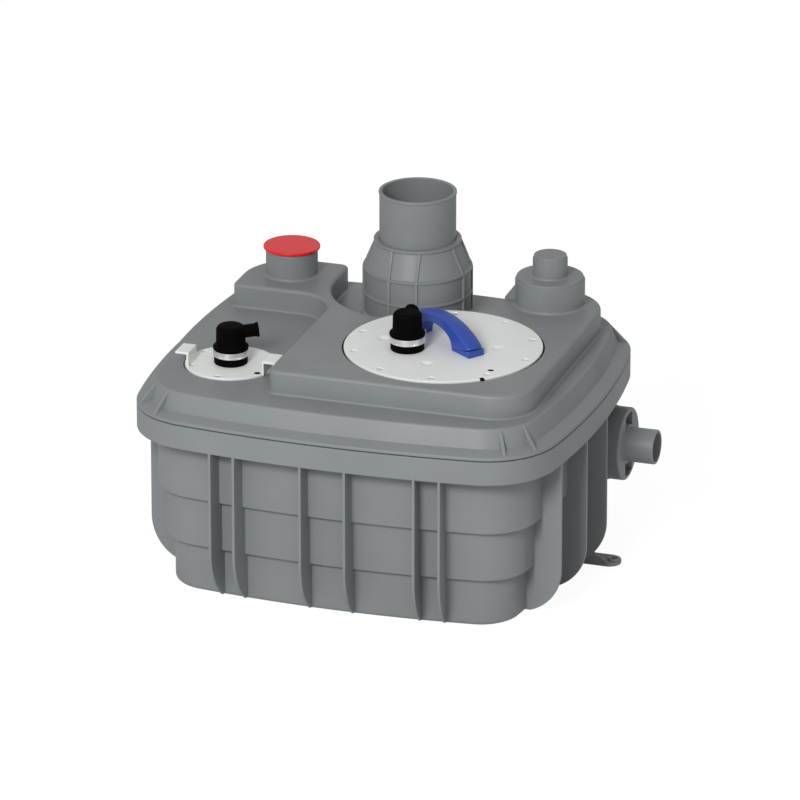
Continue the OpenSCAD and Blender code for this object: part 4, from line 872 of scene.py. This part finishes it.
def makeStudio():
    # the camera looks along the photograph's direction: right is (cos a, sin a, 0), and back leans up by e
    s = studio
    a, e = np.radians(s["view"])
    right = np.array([np.cos(a), np.sin(a), 0])
    up = np.array([-np.sin(a) * np.sin(e), np.cos(a) * np.sin(e), np.cos(e)])
    back = np.array([np.sin(a) * np.cos(e), -np.cos(a) * np.cos(e), np.sin(e)])
    target = (np.array(s["target"]) + s["shift"][0] * right + s["shift"][1] * up) * mm
    camera = bpy.data.objects.new("camera", bpy.data.cameras.new("camera"))
    bpy.context.scene.collection.objects.link(camera)
    camera.data.sensor_width = 36
    camera.data.lens = 36 * s["away"] / (s["frame"] * mm)
    camera.data.clip_end = 100
    turn = Matrix([[*row] for row in np.stack([right, up, back], 1)]).to_4x4()
    camera.matrix_world = Matrix.Translation(Vector(target + back * s["away"])) @ turn
    bpy.context.scene.camera = camera

    plane = bpy.data.meshes.new("floor")
    k = 30
    plane.from_pydata([(-k, -k, 0), (k, -k, 0), (k, k, 0), (-k, k, 0)], [], [(0, 1, 2, 3)])
    floor = bpy.data.objects.new("floor", plane)
    bpy.context.scene.collection.objects.link(floor)
    paper = bpy.data.materials.new("studioPaper")
    paper.use_nodes = True
    tree = paper.node_tree
    tree.nodes.remove(tree.nodes["Principled BSDF"])
    rays = addNode(tree, "ShaderNodeLightPath")
    seen = joinedMath(tree, "MAXIMUM", rays.outputs["Is Camera Ray"], rays.outputs["Is Transmission Ray"])
    part = addNode(tree, "ShaderNodeMath", settings={"operation": "MULTIPLY"}, values={1: s["paper"]},
                   links={0: seen})
    matt = addNode(tree, "ShaderNodeBsdfDiffuse", values={"Color": linear("#F4F4F4")})
    white = addNode(tree, "ShaderNodeEmission", values={"Color": (1, 1, 1, 1), "Strength": 1.1})
    both = addNode(tree, "ShaderNodeMixShader",
                   links={0: part.outputs[0], 1: matt.outputs[0], 2: white.outputs[0]})
    tree.links.new(both.outputs[0], tree.nodes["Material Output"].inputs["Surface"])
    plane.materials.append(paper)

    world = bpy.data.worlds.new("studio")
    bpy.context.scene.world = world
    world.use_nodes = True
    tree = world.node_tree
    rays = addNode(tree, "ShaderNodeLightPath")
    seen = joinedMath(tree, "MAXIMUM", rays.outputs["Is Camera Ray"], rays.outputs["Is Glossy Ray"])
    either = joinedMath(tree, "MAXIMUM", seen, rays.outputs["Is Transmission Ray"])
    shine = addNode(tree, "ShaderNodeMapRange", values={"To Min": s["sky"], "To Max": s["shine"]},
                    links={"Value": either})
    sky = joinedMath(tree, "MAXIMUM", shine.outputs["Result"], rays.outputs["Is Camera Ray"])
    tree.links.new(sky, tree.nodes["Background"].inputs["Strength"])
    tree.nodes["Background"].inputs["Color"].default_value = (1, 1, 1, 1)

    light = bpy.data.lights.new("key", "AREA")
    light.shape = "DISK"
    light.size = s["keyWide"]
    light.energy = s["key"]
    lamp = bpy.data.objects.new("key", light)
    spot = Vector(s["keyAt"])
    lamp.location = spot
    lamp.rotation_euler = (Vector((0, 0, 0.2)) - spot).to_track_quat("-Z", "Y").to_euler()
    bpy.context.scene.collection.objects.link(lamp)


makeStudio()
bpy.context.scene.view_settings.view_transform = "Standard"
print("studio made")
